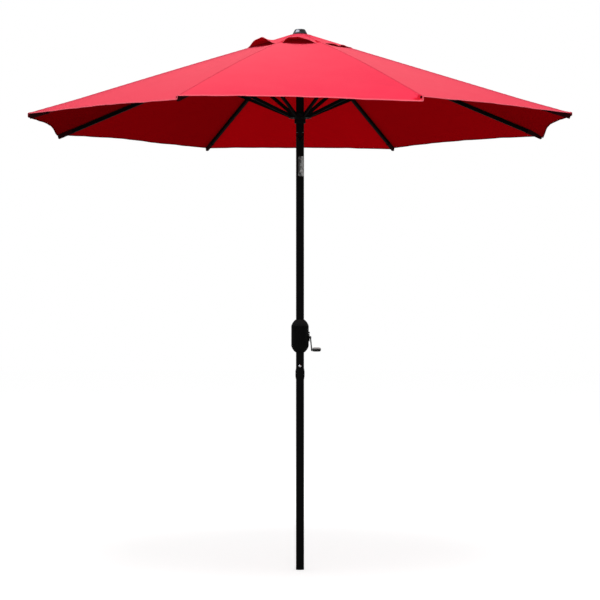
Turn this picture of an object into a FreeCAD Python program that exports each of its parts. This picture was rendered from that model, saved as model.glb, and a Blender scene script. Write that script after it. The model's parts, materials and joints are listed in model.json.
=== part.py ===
"""Market umbrella with a crank lift and a tilting top, in millimetres.

The pole stands on the origin with +Z up. Eight ribs turn in a hub at the pole's top, and eight
struts join them to a runner that slides on the pole. The line from a rib's pivot to its strut pin
is as long as the strut, and both pivots lie on one radius, so the runner travels straight along
the pole while the rib turns by an angle and the strut by twice that angle.
"""
import FreeCAD, Part
import Sketcher
import math
import os

V = FreeCAD.Vector
Turn = FreeCAD.Rotation
X_AXIS, Y_AXIS, Z_AXIS = V(1, 0, 0), V(0, 1, 0), V(0, 0, 1)

# Driving dimensions: name, value in mm (or degrees, or a count), and what it is.
SIZES = [
    ("rib_count", 8, "ribs, struts, and gores of the canopy"),
    ("canopy_radius", 1300, "pole axis to the end of a rib"),
    ("hub_height", 2503, "foot of the pole to the ribs' pivots"),
    ("rib_slope", 18.45, "degrees that an open rib falls away from level"),
    ("pivot_radius", 45, "pole axis to the pivots in the hub and in the runner"),
    ("strut_length", 474, "between a strut's two pins"),
    ("bracket_drop", 36, "a rib's middle line to its strut pin"),
    ("rib_width", 12, "across a rib"),
    ("rib_depth", 18, "a rib from top to bottom"),
    ("strut_width", 10, "across a strut"),
    ("strut_depth", 15, "a strut from top to bottom"),
    ("tube_wall", 0.8, "wall of the rib and strut tubes"),
    ("rib_tail", 8, "a rib's end behind its pivot"),
    ("strut_tail", 7, "a strut's end past each pin"),
    ("pin_radius", 2, "hinge pins of ribs and struts"),
    ("pin_gap", 0.06, "clearance round a hinge pin"),
    ("open_pivot_gap", 0.2, "clearance round the runner's pins"),
    ("slot_gap", 0.4, "each side of a rib or strut in its slot"),
    ("hub_radius", 58, "outside of the hub"),
    ("hub_above", 4, "hub's top over its pivots"),
    ("hub_below", 15, "underside of the hub's slotted disc under its pivots"),
    ("hub_skirt", 17, "depth of the hub's neck under its disc"),
    ("neck_wall", 8, "wall of the hub's neck round the pole"),
    ("stud_radius", 6, "stud that the finial screws on"),
    ("stud_height", 12, "that stud over the crown patch"),
    ("pin_seat", 7, "hinge pins past each side of a slot in hub or runner"),
    ("pole_end_drop", 4, "pole's upper end under the ribs' pivots"),
    ("runner_radius", 53, "outside of the runner's slotted ring"),
    ("ring_half", 8, "half the thickness of the runner's ring"),
    ("runner_skirt", 25, "runner's sleeve under its ring"),
    ("sleeve_wall", 6.7, "wall of the runner's sleeve"),
    ("slide_gap", 0.8, "runner to pole"),
    ("pole_radius", 19, "outside of all the pole tubes"),
    ("pole_wall", 1.2, "wall of the pole tubes"),
    ("nest_gap", 0.05, "what fits inside or round a tube"),
    ("foot_height", 12, "rim of the end plug"),
    ("foot_rim", 0.2, "how far that rim stands proud of the pole"),
    ("foot_edge", 0.4, "broken edge under that rim"),
    ("plug_depth", 30, "plug inside the pole"),
    ("plug_wall", 3, "wall of the plug's cup"),
    ("plug_floor", 6, "floor of the plug's cup"),
    ("edge", 1, "broken edges of small moulded and turned pieces"),
    ("hub_edge", 2, "broken edges of the hub and the runner"),
    ("hub_step", 4, "cone between the wide and the narrow part of hub and runner"),
    ("join_height", 922, "where the lower and the main pole meet"),
    ("joiner_down", 110, "joiner tube inside the lower pole"),
    ("joiner_up", 90, "joiner tube inside the main pole"),
    ("collar_low", 24.5, "collar under the joint"),
    ("collar_high", 26, "collar over the joint"),
    ("collar_wall", 2.7, "thickness of the collar"),
    ("collar_taper", 13, "length of the collar's tapered ends"),
    ("collar_lip", 0.6, "thickness at the collar's ends"),
    ("button_height", 960, "middle of the snap button"),
    ("button_radius", 5.5, "snap button"),
    ("button_gap", 0.1, "a button in its hole"),
    ("button_proud", 4, "snap button over the pole"),
    ("spring_width", 8, "leaf spring of the snap button"),
    ("spring_thick", 0.8, "strip that the leaf spring is bent from"),
    ("spring_legs", 38, "button to the bend of the leaf spring"),
    ("spring_bend", 2, "half the width of that bend"),
    ("spring_slope", 8, "height over which the legs spread from the bend"),
    ("spring_gap", 0.3, "button to its leaf spring"),
    ("spring_back", 0.7, "leaf spring's rear leg to the joiner"),
    ("tilt_height", 2040, "tilt pin above the foot"),
    ("knuckle_body", 28, "solid part of each tilt knuckle next to its pole"),
    ("knuckle_gap", 1, "knuckle to knuckle"),
    ("knuckle_plug", 40, "knuckle inside its pole"),
    ("tongue_half", 9, "half the upper knuckle's tongue"),
    ("tongue_gap", 0.15, "tongue to fork, each side"),
    ("tilt_pin_radius", 4, "tilt pin"),
    ("tilt_button_drop", 34, "tilt button's middle below the tilt pin"),
    ("tilt_button_radius", 5, "tilt button"),
    ("tilt_button_proud", 3, "tilt button over the knuckle"),
    ("tilt_button_length", 13, "tilt button from end to end"),
    ("tilt_button_travel", 3, "how far the tilt button goes in"),
    ("keyway_width", 12, "groove in the runner that passes the tilt button"),
    ("keyway_gap", 1.4, "keyway over the tilt button"),
    ("pulley_drop", 45, "pulley's axle under the ribs' pivots"),
    ("pulley_radius", 14, "pulley"),
    ("pulley_shift", 7, "pulley's axle behind the pole's middle"),
    ("pulley_width", 7, "pulley's thickness"),
    ("pulley_slot", 1, "pole's slot past the pulley on each side"),
    ("groove_depth", 2.5, "cord groove in the pulley"),
    ("axle_inset", 0.3, "ends of the pulley axle inside the pole's face"),
    ("axle_radius", 2.5, "pulley axle"),
    ("crank_height", 1093, "crank shaft above the foot"),
    ("shaft_radius", 5, "crank shaft"),
    ("spool_gap", 0.8, "spool's flanges to the pole's bore"),
    ("spool_core", 12, "spool's core"),
    ("spool_length", 16, "spool from end to end"),
    ("spool_flange", 2, "thickness of a spool flange"),
    ("housing_bottom", 1024, "crank housing's lower end"),
    ("housing_top", 1178, "crank housing's upper end"),
    ("housing_taper", 30, "height of the housing's shoulders"),
    ("housing_radius", 41.3, "crank housing"),
    ("housing_neck", 2.5, "housing's ends over the pole"),
    ("housing_floor", 5, "thickness of the housing's ends"),
    ("housing_wall", 3, "wall of the housing"),
    ("housing_gap", 0.05, "housing to pole, and shell to shell"),
    ("boss_radius", 18, "boss round the crank shaft"),
    ("boss_proud", 4, "boss over the housing"),
    ("boss_root", 9, "boss inside the housing's outer face"),
    ("stop_radius", 4, "small stop over the boss"),
    ("stop_proud", 5, "stop over the housing"),
    ("stop_rise", 23.7, "crank shaft to the stop"),
    ("grip_angle", 74, "degrees of the barrel that the ribbed grip covers"),
    ("grip_proud", 1, "grip over the housing"),
    ("grip_ribs", 6, "ribs on the grip"),
    ("grip_pitch", 12, "rib to rib"),
    ("grip_groove", 2.5, "width of the grooves between the ribs"),
    ("post_radius", 5, "screw posts in the housing"),
    ("post_offset", 30, "screw posts beside the pole"),
    ("post_rise", 40, "screw posts above and below the housing's middle"),
    ("screw_radius", 1.8, "housing screws"),
    ("screw_head", 3.4, "heads of the housing screws"),
    ("head_gap", 0.1, "screw head in its hole"),
    ("head_height", 3, "height of those heads"),
    ("screw_reach", 20, "pole's middle plane to the screws' heads"),
    ("screw_short", 8, "screw holes past the screws' tips"),
    ("arm_length", 56, "crank shaft to knob"),
    ("arm_thick", 6, "crank arm"),
    ("arm_width", 15, "crank arm"),
    ("arm_lean", 5.5, "how far the arm's lower end leans outward"),
    ("arm_flat", 0.2, "half the flat left at the arm's rounded ends"),
    ("arm_gap", 1, "arm to boss"),
    ("shaft_tail", 5, "crank shaft past the pole"),
    ("shaft_end", 1.5, "crank shaft past the arm"),
    ("knob_radius", 9.9, "crank knob"),
    ("knob_length", 38, "crank knob"),
    ("knob_gap", 0.5, "knob to arm and to its pin's head"),
    ("knob_pin_radius", 3, "pin that the knob turns on"),
    ("knob_head", 2, "head of that pin: its height, and how far it stands over the pin"),
    ("knob_waist", 1, "how much thinner the knob is at its ends"),
    ("knob_edge", 1.5, "bevel of the knob's ends"),
    ("cloth", 1.2, "thickness of the canopy and vent cap"),
    ("cloth_over_rib", 1.2, "canopy over the ribs"),
    ("cloth_layer_gap", 0.3, "layer to layer"),
    ("seam_gap", 0.5, "half the gap between two gores"),
    ("vent_radius", 165, "canopy's opening under the vent cap, along a rib"),
    ("cap_radius", 262, "vent cap along a rib"),
    ("cap_start", 40, "vent cap's inner edge"),
    ("hem_sag", 22, "how far the canopy's hem curves in between two ribs"),
    ("cap_sag", 5, "how far the vent cap's hem curves in"),
    ("crown_radius", 60, "crown patch"),
    ("crown_flat", 36, "flat middle of the crown patch"),
    ("finial_base", 35, "finial's foot"),
    ("finial_top", 26, "finial's top"),
    ("finial_height", 24.5, "finial"),
    ("finial_rim", 3, "height of the finial's straight rim"),
    ("finial_bevel", 4, "bevel round the finial's top"),
    ("cap_head", 4, "plastic cap over a rib's end"),
    ("cap_plug", 16, "that cap inside the rib"),
    ("bracket_lap", 3, "bracket's sides over the rib's middle line"),
    ("rivet_end", 1, "rivet past each side of its bracket"),
    ("plate", 1.5, "sheet that the strut brackets are bent from"),
    ("bracket_half", 20, "half the bracket's length on the rib"),
    ("bracket_eye", 7, "bracket's end round the strut pin"),
]


class Size:
    """A dimension: its number, and the formula that binds it to the sheet."""

    def __init__(self, number, formula=None):
        self.number = float(number)
        self.formula = formula or repr(number)

    def _with(self, other, sign, work, turned=False):
        other = other if isinstance(other, Size) else Size(other)
        first, second = (other, self) if turned else (self, other)
        return Size(work(first.number, second.number), f"({first.formula} {sign} {second.formula})")

    def __add__(self, other):
        return self._with(other, "+", lambda p, q: p + q)

    def __radd__(self, other):
        return self._with(other, "+", lambda p, q: p + q, True)

    def __sub__(self, other):
        return self._with(other, "-", lambda p, q: p - q)

    def __rsub__(self, other):
        return self._with(other, "-", lambda p, q: p - q, True)

    def __mul__(self, other):
        return self._with(other, "*", lambda p, q: p * q)

    def __rmul__(self, other):
        return self._with(other, "*", lambda p, q: p * q, True)

    def __truediv__(self, other):
        return self._with(other, "/", lambda p, q: p / q)

    def __rtruediv__(self, other):
        return self._with(other, "/", lambda p, q: p / q, True)

    def __neg__(self):
        return 0 - self


def sine(angle):
    return Size(math.sin(math.radians(angle.number)), f"sin({angle.formula})")


def cosine(angle):
    return Size(math.cos(math.radians(angle.number)), f"cos({angle.formula})")


def root(value):
    return Size(math.sqrt(value.number), f"sqrt({value.formula})")


doc = FreeCAD.newDocument("MarketUmbrella")
sheet = doc.addObject("Spreadsheet::Sheet", "Sizes")
size = {}
for row, (name, number, meaning) in enumerate(SIZES, start=1):
    sheet.set(f"A{row}", name)
    sheet.set(f"B{row}", str(number))
    sheet.setAlias(f"B{row}", name)
    sheet.set(f"C{row}", meaning)
    size[name] = Size(number, f"Sizes.{name}")
doc.recompute()

# Sizes that follow from the driving ones.
SLOPE = sine(size["rib_slope"]) / cosine(size["rib_slope"])
RIB_LENGTH = (size["canopy_radius"] - size["pivot_radius"]) / cosine(size["rib_slope"])
DROP_SINE = size["bracket_drop"] / size["strut_length"]
DROP_COSINE = root(1 - DROP_SINE * DROP_SINE)
STRUT_RISE_SINE = sine(size["rib_slope"]) * DROP_COSINE + cosine(size["rib_slope"]) * DROP_SINE
BRACKET_ALONG = size["strut_length"] * DROP_COSINE
RUNNER_HEIGHT = size["hub_height"] - 2 * size["strut_length"] * STRUT_RISE_SINE
POLE_BORE = size["pole_radius"] - size["pole_wall"]
PLUG_RADIUS = POLE_BORE - size["nest_gap"]
PITCH = 360 / size["rib_count"]
HALF_PITCH = PITCH / 2
# The canopy's upper face: its height over a rib at the pole's axis, and its fall across a gore.
CLOTH_APEX = (
    size["hub_height"]
    + SLOPE * size["pivot_radius"]
    + (size["rib_depth"] / 2 + size["cloth_over_rib"] + size["cloth"]) / cosine(size["rib_slope"])
)
GORE_SLOPE = SLOPE / cosine(HALF_PITCH)
CAP_LIFT = size["cloth_layer_gap"] + size["cloth"]
CROWN_SEAT = CLOTH_APEX - SLOPE * size["crown_flat"] + 2 * CAP_LIFT
KNUCKLE_REACH = size["pole_radius"] + size["knuckle_gap"] + size["knuckle_body"]
TILT_BUTTON_IN = size["pole_radius"] + size["tilt_button_proud"] - size["tilt_button_length"]
POLE_TOP = size["hub_height"] - size["pole_end_drop"]
PULLEY_HEIGHT = size["hub_height"] - size["pulley_drop"]
HOUSING_NECK = size["pole_radius"] + size["housing_neck"]

pieces = []


def keep(item, label):
    """Name a finished piece, so that it is checked and written to its own file."""
    item.Label = label
    pieces.append(item)
    return item


def new_body(name):
    return doc.addObject("PartDesign::Body", name)


def bind(item, **formulas):
    """Bind properties of a document object to the sheet."""
    for name, value in formulas.items():
        item.setExpression(name, value.formula)


def origin_part(body, role):
    return [feature for feature in body.Origin.OriginFeatures if feature.Role == role][0]


def sketch_on(body, role, offset=None, turn=0):
    """A sketch on one of the body's own planes, moved along the plane's normal by offset."""
    sketch = body.newObject("Sketcher::SketchObject", f"{body.Name}Sketch")
    sketch.AttachmentSupport = [(origin_part(body, role), "")]
    sketch.MapMode = "FlatFace"
    sketch.AttachmentOffset = FreeCAD.Placement(V(), Turn(Z_AXIS, turn))
    if offset is not None:
        sketch.setExpression("AttachmentOffset.Base.z", offset.formula)
    return sketch


def limit(sketch, kind, *entries):
    """Add a constraint whose last entry is a Size, bound to the sheet."""
    index = sketch.addConstraint(Sketcher.Constraint(kind, *entries[:-1], entries[-1].number))
    sketch.setExpression(f"Constraints[{index}]", entries[-1].formula)


def fix_point(sketch, geometry, end, x, y):
    """Hold one point of a sketch at x, y from the sketch's origin."""
    for kind, axis, value in (("DistanceX", -2, x), ("DistanceY", -1, y)):
        if value.number == 0:
            sketch.addConstraint(Sketcher.Constraint("PointOnObject", geometry, end, axis))
        else:
            limit(sketch, kind, -1, 1, geometry, end, value)


def as_size(value):
    return value if isinstance(value, Size) else Size(value)


def circle(sketch, x, y, radius):
    x, y = as_size(x), as_size(y)
    index = sketch.addGeometry(Part.Circle(V(x.number, y.number, 0), Z_AXIS, radius.number))
    fix_point(sketch, index, 3, x, y)
    limit(sketch, "Radius", index, radius)


def arc_between(start, end, radius):
    """The short arc from start to end: it bulges right of the way there, left if radius < 0."""
    way = end - start
    left = V(-way.y, way.x, 0).normalize()
    reach = math.sqrt(radius * radius - way.Length * way.Length / 4)
    centre = start + way * 0.5 + left * (reach if radius > 0 else -reach)
    first, last = (start, end) if radius > 0 else (end, start)
    angles = [math.atan2(point.y - centre.y, point.x - centre.x) for point in (first, last)]
    if angles[1] < angles[0]:
        angles[1] += 2 * math.pi
    return Part.ArcOfCircle(Part.Circle(centre, Z_AXIS, abs(radius)), *angles)


def outline(sketch, corners):
    """A closed outline of lines and arcs.

    A corner is (x, y), or (x, y, radius) where the run to the next corner is an arc that bulges
    to the right of its way, or to the left where the radius is negative.
    """
    corners = [tuple(as_size(entry) for entry in corner) for corner in corners]
    points = [V(corner[0].number, corner[1].number, 0) for corner in corners]
    ends = []
    for number, corner in enumerate(corners):
        start, end = points[number], points[(number + 1) % len(points)]
        if len(corner) == 3:
            index = sketch.addGeometry(arc_between(start, end, corner[2].number))
            ends.append((index, 1, 2) if corner[2].number > 0 else (index, 2, 1))
        else:
            index = sketch.addGeometry(Part.LineSegment(start, end))
            ends.append((index, 1, 2))
    for number, corner in enumerate(corners):
        index, first, _ = ends[number]
        before, _, last = ends[number - 1]
        sketch.addConstraint(Sketcher.Constraint("Coincident", before, last, index, first))
        fix_point(sketch, index, first, corner[0], corner[1])
        if len(corner) == 3:
            arc_size = corner[2] if corner[2].number > 0 else -corner[2]
            limit(sketch, "Radius", index, arc_size)


def rectangle(sketch, x0, x1, y0, y1):
    outline(sketch, [(x0, y0), (x1, y0), (x1, y1), (x0, y1)])


def pad(body, sketch, length, symmetric=False, flip=False):
    feature = body.newObject("PartDesign::Pad", f"{body.Name}Pad")
    feature.Profile = sketch
    feature.SideType = "Symmetric" if symmetric else "One side"
    feature.Reversed = flip
    bind(feature, Length=length)
    return feature


def pocket(body, sketch, length=None, symmetric=True, flip=False):
    """Cut a sketch through the body, or to a length."""
    feature = body.newObject("PartDesign::Pocket", f"{body.Name}Pocket")
    feature.Profile = sketch
    feature.SideType = "Symmetric" if symmetric else "One side"
    feature.Reversed = flip
    if length is None:
        feature.Type = "ThroughAll"
    else:
        bind(feature, Length=length)
    return feature


def revolve(body, sketch, angle=360, axis="V_Axis", flip=False):
    feature = body.newObject("PartDesign::Revolution", f"{body.Name}Turned")
    feature.Profile = sketch
    feature.ReferenceAxis = (sketch, [axis])
    feature.Angle = angle
    feature.Reversed = flip
    return feature


def round_the_pole(body, features):
    """Repeat features once for each rib."""
    pattern = body.newObject("PartDesign::PolarPattern", f"{body.Name}Pattern")
    pattern.Originals = features
    pattern.Axis = (origin_part(body, "Z_Axis"), [""])
    pattern.Angle = 360
    bind(pattern, Occurrences=size["rib_count"])
    body.Tip = pattern


def turned(name, corners, axis="V_Axis"):
    """A body turned about the Z axis from a half outline in the XZ plane."""
    body = new_body(name)
    sketch = sketch_on(body, "XZ_Plane")
    outline(sketch, corners)
    revolve(body, sketch, axis=axis)
    return body


def rod(name, radius, length, centre, direction):
    """A plain cylinder, centred at a point, along a direction."""
    item = doc.addObject("Part::Cylinder", name)
    bind(item, Radius=radius, Height=length)
    base = V(*[as_size(entry).number for entry in centre]) - direction * (length.number / 2)
    item.Placement = FreeCAD.Placement(base, Turn(Z_AXIS, direction))
    return item


def cut(name, base, tool):
    item = doc.addObject("Part::Cut", name)
    item.Base = base
    item.Tool = tool
    return item


def common(name, base, tool):
    item = doc.addObject("Part::Common", name)
    item.Base = base
    item.Tool = tool
    return item


def fuse(name, items):
    item = doc.addObject("Part::MultiFuse", name)
    item.Shapes = items
    return item


def group(name, items):
    item = doc.addObject("Part::Compound", name)
    item.Links = items
    return item


def pole_tube(name, bottom, top):
    """A round tube of the pole's section."""
    body = new_body(name)
    sketch = sketch_on(body, "XY_Plane", bottom)
    circle(sketch, 0, 0, size["pole_radius"])
    circle(sketch, 0, 0, POLE_BORE)
    pad(body, sketch, top - bottom)
    return body


def cross_hole(body, role, across, up, radius):
    """A round hole right through a body, square to one of its planes."""
    sketch = sketch_on(body, role)
    circle(sketch, across, up, radius)
    pocket(body, sketch)


def make_lower_pole():
    keep(pole_tube("LowerPole", size["foot_height"], size["join_height"]), "lower_pole")


def make_foot_plug():
    """A moulded cup that closes the lower pole, with a rim that the pole stands on."""
    rim = size["pole_radius"] + size["foot_rim"]
    top = size["foot_height"] + size["plug_depth"]
    inside = PLUG_RADIUS - size["plug_wall"]
    edge = size["edge"]
    body = turned("FootPlug", [
        (0, 0),
        (rim - size["foot_edge"], 0),
        (rim, size["foot_edge"]),
        (rim, size["foot_height"]),
        (PLUG_RADIUS, size["foot_height"]),
        (PLUG_RADIUS, top - 2 * edge),
        (PLUG_RADIUS - edge, top),
        (inside, top),
        (inside, size["plug_floor"]),
        (0, size["plug_floor"]),
    ])
    keep(body, "foot_plug")


def make_joiner():
    """The tube that the two poles slide onto, with the hole for the snap button."""
    body = new_body("Joiner")
    sketch = sketch_on(body, "XY_Plane", size["join_height"] - size["joiner_down"])
    circle(sketch, 0, 0, PLUG_RADIUS)
    circle(sketch, 0, 0, PLUG_RADIUS - size["pole_wall"])
    pad(body, sketch, size["joiner_down"] + size["joiner_up"])
    front_hole(body, size["button_height"], size["button_radius"] + size["button_gap"])
    keep(body, "joiner_tube")


def front_hole(body, height, radius):
    """A round hole through the front wall of a tube."""
    sketch = sketch_on(body, "XZ_Plane")
    circle(sketch, 0, height, radius)
    pocket(body, sketch, size["pole_radius"] + 1, symmetric=False, flip=True)


def make_collar():
    """The moulded collar over the joint, tapered at both ends."""
    bore = size["pole_radius"] + size["nest_gap"]
    lip = bore + size["collar_lip"]
    outside = bore + size["collar_wall"]
    low = size["join_height"] - size["collar_low"]
    high = size["join_height"] + size["collar_high"]
    taper = size["collar_taper"]
    body = turned("Collar", [
        (bore, low),
        (lip, low),
        (outside, low + taper),
        (outside, high - taper),
        (lip, high),
        (bore, high),
    ])
    keep(body, "pole_sleeve")


def make_main_pole():
    """The pole from the joint to the tilt, with holes for the snap button and the crank shaft."""
    body = pole_tube("MainPole", size["join_height"], size["tilt_height"] - KNUCKLE_REACH)
    front_hole(body, size["button_height"], size["button_radius"] + size["button_gap"])
    cross_hole(body, "YZ_Plane", 0, size["crank_height"], size["shaft_radius"] + size["nest_gap"])
    keep(body, "main_pole")


def make_snap_button():
    """A domed button that stands through the pole's front wall, turned about the Y axis."""
    body = new_body("SnapButton")
    sketch = sketch_on(body, "XY_Plane", size["button_height"])
    inner = -(PLUG_RADIUS - size["pole_wall"] - size["spring_thick"])
    outer = -(size["pole_radius"] + size["button_proud"])
    radius, edge = size["button_radius"], 2 * size["edge"]
    outline(sketch, [
        (0, outer),
        (radius - edge, outer),
        (radius, outer + edge),
        (radius, inner),
        (0, inner),
    ])
    revolve(body, sketch)
    keep(body, "snap_button")


def make_snap_spring():
    """A strip bent to a narrow V inside the joiner: its front leg pushes the button outward."""
    bore = PLUG_RADIUS - size["pole_wall"]
    thick, half = size["spring_thick"], size["spring_bend"]
    front = size["spring_gap"] + thick - bore
    back = bore - size["spring_back"] - thick
    top = size["button_height"] + size["button_radius"]
    bend = size["button_height"] - size["spring_legs"]
    knee = bend + size["spring_slope"]
    body = new_body("SnapSpring")
    sketch = sketch_on(body, "YZ_Plane")
    outline(sketch, [
        (front, top),
        (front, knee),
        (-half, bend),
        (half, bend),
        (back, knee),
        (back, top),
        (back - thick, top),
        (back - thick, knee + thick / 2),
        (half - thick / 2, bend + thick),
        (thick / 2 - half, bend + thick),
        (front + thick, knee + thick / 2),
        (front + thick, top),
    ])
    pad(body, sketch, size["spring_width"], symmetric=True)
    keep(body, "snap_spring")


def knuckle_blank(name, sign):
    """A knuckle before its slot is cut: a plug, a body as thick as the pole, and a rounded end."""
    tilt = size["tilt_height"]
    middle = tilt + sign * (size["pole_radius"] + size["knuckle_gap"])
    shoulder = tilt + sign * KNUCKLE_REACH
    plug_end = shoulder + sign * size["knuckle_plug"]
    radius = size["pole_radius"]
    body = new_body(name)
    sketch = sketch_on(body, "XZ_Plane")
    outline(sketch, [
        (0, tilt - sign * radius),
        (radius, tilt - sign * radius),
        (radius, shoulder),
        (PLUG_RADIUS, shoulder),
        (PLUG_RADIUS, plug_end),
        (0, plug_end),
    ])
    revolve(body, sketch)
    # the end turns about the tilt pin, so what lies past the body is trimmed to a round
    sketch = sketch_on(body, "YZ_Plane")
    wide = radius + size["edge"]
    far = tilt - sign * wide
    outline(sketch, [
        (-wide, far),
        (-wide, tilt),
        (-radius, tilt, sign * -radius),
        (0, tilt - sign * radius, sign * -radius),
        (radius, tilt),
        (wide, tilt),
        (wide, far),
    ])
    pocket(body, sketch)
    return body, middle, far


def make_lower_knuckle():
    """The fork of the tilt joint, with the bore of the tilt button in its back."""
    body, middle, far = knuckle_blank("LowerKnuckle", -1)
    half = size["tongue_half"] + size["tongue_gap"]
    sketch = sketch_on(body, "XZ_Plane")
    rectangle(sketch, -half, half, middle, far)
    pocket(body, sketch)
    floor = TILT_BUTTON_IN - size["tilt_button_travel"] - size["edge"]
    sketch = sketch_on(body, "XZ_Plane", -floor)
    height = size["tilt_height"] - size["tilt_button_drop"]
    circle(sketch, 0, height, size["tilt_button_radius"] + size["button_gap"])
    pocket(body, sketch, size["pole_radius"] - floor + size["edge"], symmetric=False)
    cross_hole(body, "YZ_Plane", 0, size["tilt_height"], size["tilt_pin_radius"] + size["pin_gap"])
    keep(body, "tilt_lower_knuckle")


def make_upper_knuckle():
    """The tongue of the tilt joint."""
    body, middle, far = knuckle_blank("UpperKnuckle", 1)
    wide = size["pole_radius"] + size["edge"]
    half = size["tongue_half"]
    sketch = sketch_on(body, "XZ_Plane")
    rectangle(sketch, half, wide, far, middle)
    rectangle(sketch, -wide, -half, far, middle)
    pocket(body, sketch)
    cross_hole(body, "YZ_Plane", 0, size["tilt_height"], size["tilt_pin_radius"] + size["pin_gap"])
    keep(body, "tilt_upper_knuckle")


def make_tilt_pin():
    """A rivet as long as the pole is thick, its ends shaped to the pole."""
    pin = rod("TiltPinRod", size["tilt_pin_radius"], 2 * size["pole_radius"],
              (0, 0, size["tilt_height"]), X_AXIS)
    skin = rod("TiltPinSkin", size["pole_radius"], size["pole_radius"],
               (0, 0, size["tilt_height"]), Z_AXIS)
    keep(common("TiltPin", pin, skin), "tilt_pin")


def make_tilt_button():
    """The button at the back that frees the tilt."""
    body = new_body("TiltButton")
    sketch = sketch_on(body, "XY_Plane", size["tilt_height"] - size["tilt_button_drop"])
    radius, edge = size["tilt_button_radius"], size["edge"]
    outer = size["pole_radius"] + size["tilt_button_proud"]
    outline(sketch, [
        (0, TILT_BUTTON_IN),
        (radius, TILT_BUTTON_IN),
        (radius, outer - edge),
        (radius - edge, outer),
        (0, outer),
    ])
    revolve(body, sketch)
    keep(body, "tilt_button")


def make_upper_pole():
    """The pole from the tilt to the hub, with a slot and axle holes for the pulley."""
    body = pole_tube("UpperPole", size["tilt_height"] + KNUCKLE_REACH, POLE_TOP)
    half = size["pulley_width"] / 2 + size["pulley_slot"]
    reach = size["pulley_radius"] + size["pulley_slot"]
    sketch = sketch_on(body, "XZ_Plane")
    rectangle(sketch, -half, half, PULLEY_HEIGHT - reach, PULLEY_HEIGHT + reach)
    pocket(body, sketch, size["pole_radius"] + size["edge"], symmetric=False)
    cross_hole(body, "YZ_Plane", size["pulley_shift"], PULLEY_HEIGHT, size["axle_radius"])
    keep(body, "upper_pole")


def make_pulley():
    """The grooved wheel that the lift cord turns over, and its axle across the pole."""
    half, edge = size["pulley_width"] / 2, size["edge"]
    rim = size["pulley_radius"]
    bore = size["axle_radius"] + size["pin_gap"]
    body = new_body("Pulley")
    sketch = sketch_on(body, "XY_Plane")
    outline(sketch, [
        (-half, bore),
        (half, bore),
        (half, rim),
        (half - edge, rim),
        (edge, rim - size["groove_depth"]),
        (-edge, rim - size["groove_depth"]),
        (edge - half, rim),
        (-half, rim),
    ])
    revolve(body, sketch, axis="H_Axis")
    body.Placement.Base = V(0, size["pulley_shift"].number, PULLEY_HEIGHT.number)
    keep(body, "pulley")
    half_chord = root(size["pole_radius"] * size["pole_radius"]
                      - size["pulley_shift"] * size["pulley_shift"])
    pin = rod("PulleyAxle", size["axle_radius"], 2 * (half_chord - size["axle_inset"]),
              (0, size["pulley_shift"], PULLEY_HEIGHT), X_AXIS)
    keep(pin, "pulley_axle")


def make_hub():
    """A slotted disc on a neck round the pole, with a stud on top for the finial."""
    pivot = size["hub_height"]
    bore = size["pole_radius"] + size["nest_gap"]
    neck = size["pole_radius"] + size["neck_wall"]
    top = pivot + size["hub_above"]
    under = pivot - size["hub_below"]
    bottom = under - size["hub_skirt"]
    seat = CROWN_SEAT - size["cloth"] - size["cloth_layer_gap"]
    edge, step = size["hub_edge"], size["hub_step"]
    body = turned("Hub", [
        (0, POLE_TOP),
        (bore, POLE_TOP),
        (bore, bottom),
        (neck - edge, bottom),
        (neck, bottom + edge),
        (neck, under - step),
        (neck + step, under),
        (size["hub_radius"], under),
        (size["hub_radius"], top - edge),
        (size["hub_radius"] - edge, top),
        (size["crown_flat"], top),
        (size["crown_flat"] - step, seat),
        (size["stud_radius"], seat),
        (size["stud_radius"], CROWN_SEAT + size["stud_height"]),
        (0, CROWN_SEAT + size["stud_height"]),
    ])
    slot_start = size["pivot_radius"] - rib_swing_radius()
    half = size["rib_width"] / 2 + size["slot_gap"]
    cut_slots(body, slot_start, size["hub_radius"] + edge, half, pivot)
    body.Placement.Rotation = Turn(Z_AXIS, HALF_PITCH.number)
    keep(body, "hub")
    keep(pin_ring("HubPins", pivot, half), "hub_pins")


def rib_swing_radius():
    """How far a rib's inner corners reach from its pivot, with clearance."""
    tail, half = size["rib_tail"], size["rib_depth"] / 2
    return root(tail * tail + half * half) + size["slot_gap"]


def strut_swing_radius():
    """How far a strut's end corners reach from its pin, with clearance."""
    tail, half = size["strut_tail"], size["strut_depth"] / 2
    return root(tail * tail + half * half) + size["slot_gap"]


def cut_slots(body, start, end, half, height):
    """Cut one slot and one cross hole for a pin, then repeat them for each rib."""
    sketch = sketch_on(body, "XY_Plane", height)
    rectangle(sketch, start, end, -half, half)
    slot = pocket(body, sketch)
    sketch = sketch_on(body, "XZ_Plane")
    circle(sketch, size["pivot_radius"], height, size["pin_radius"])
    hole = pocket(body, sketch, 2 * half + 2 * size["pin_seat"])
    round_the_pole(body, [slot, hole])


def pin_ring(name, height, half):
    """One straight pin across each slot, on a circle round the pole."""
    pins = []
    length = 2 * half + 2 * size["pin_seat"]
    for number in range(int(size["rib_count"].number)):
        angle = rib_angle(number)
        outward, sideways = directions(angle)
        centre = outward * size["pivot_radius"].number + Z_AXIS * height.number
        pins.append(rod(f"{name}{number + 1}", size["pin_radius"], length, centre, sideways))
    return group(name, pins)


def rib_angle(number):
    """Degrees from +X to rib number, the first being half a pitch away from +X."""
    return HALF_PITCH.number + number * PITCH.number


def directions(angle):
    """The level directions outward and sideways at an angle round the pole."""
    turn = Turn(Z_AXIS, angle)
    return turn.multVec(X_AXIS), turn.multVec(Y_AXIS)


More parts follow.
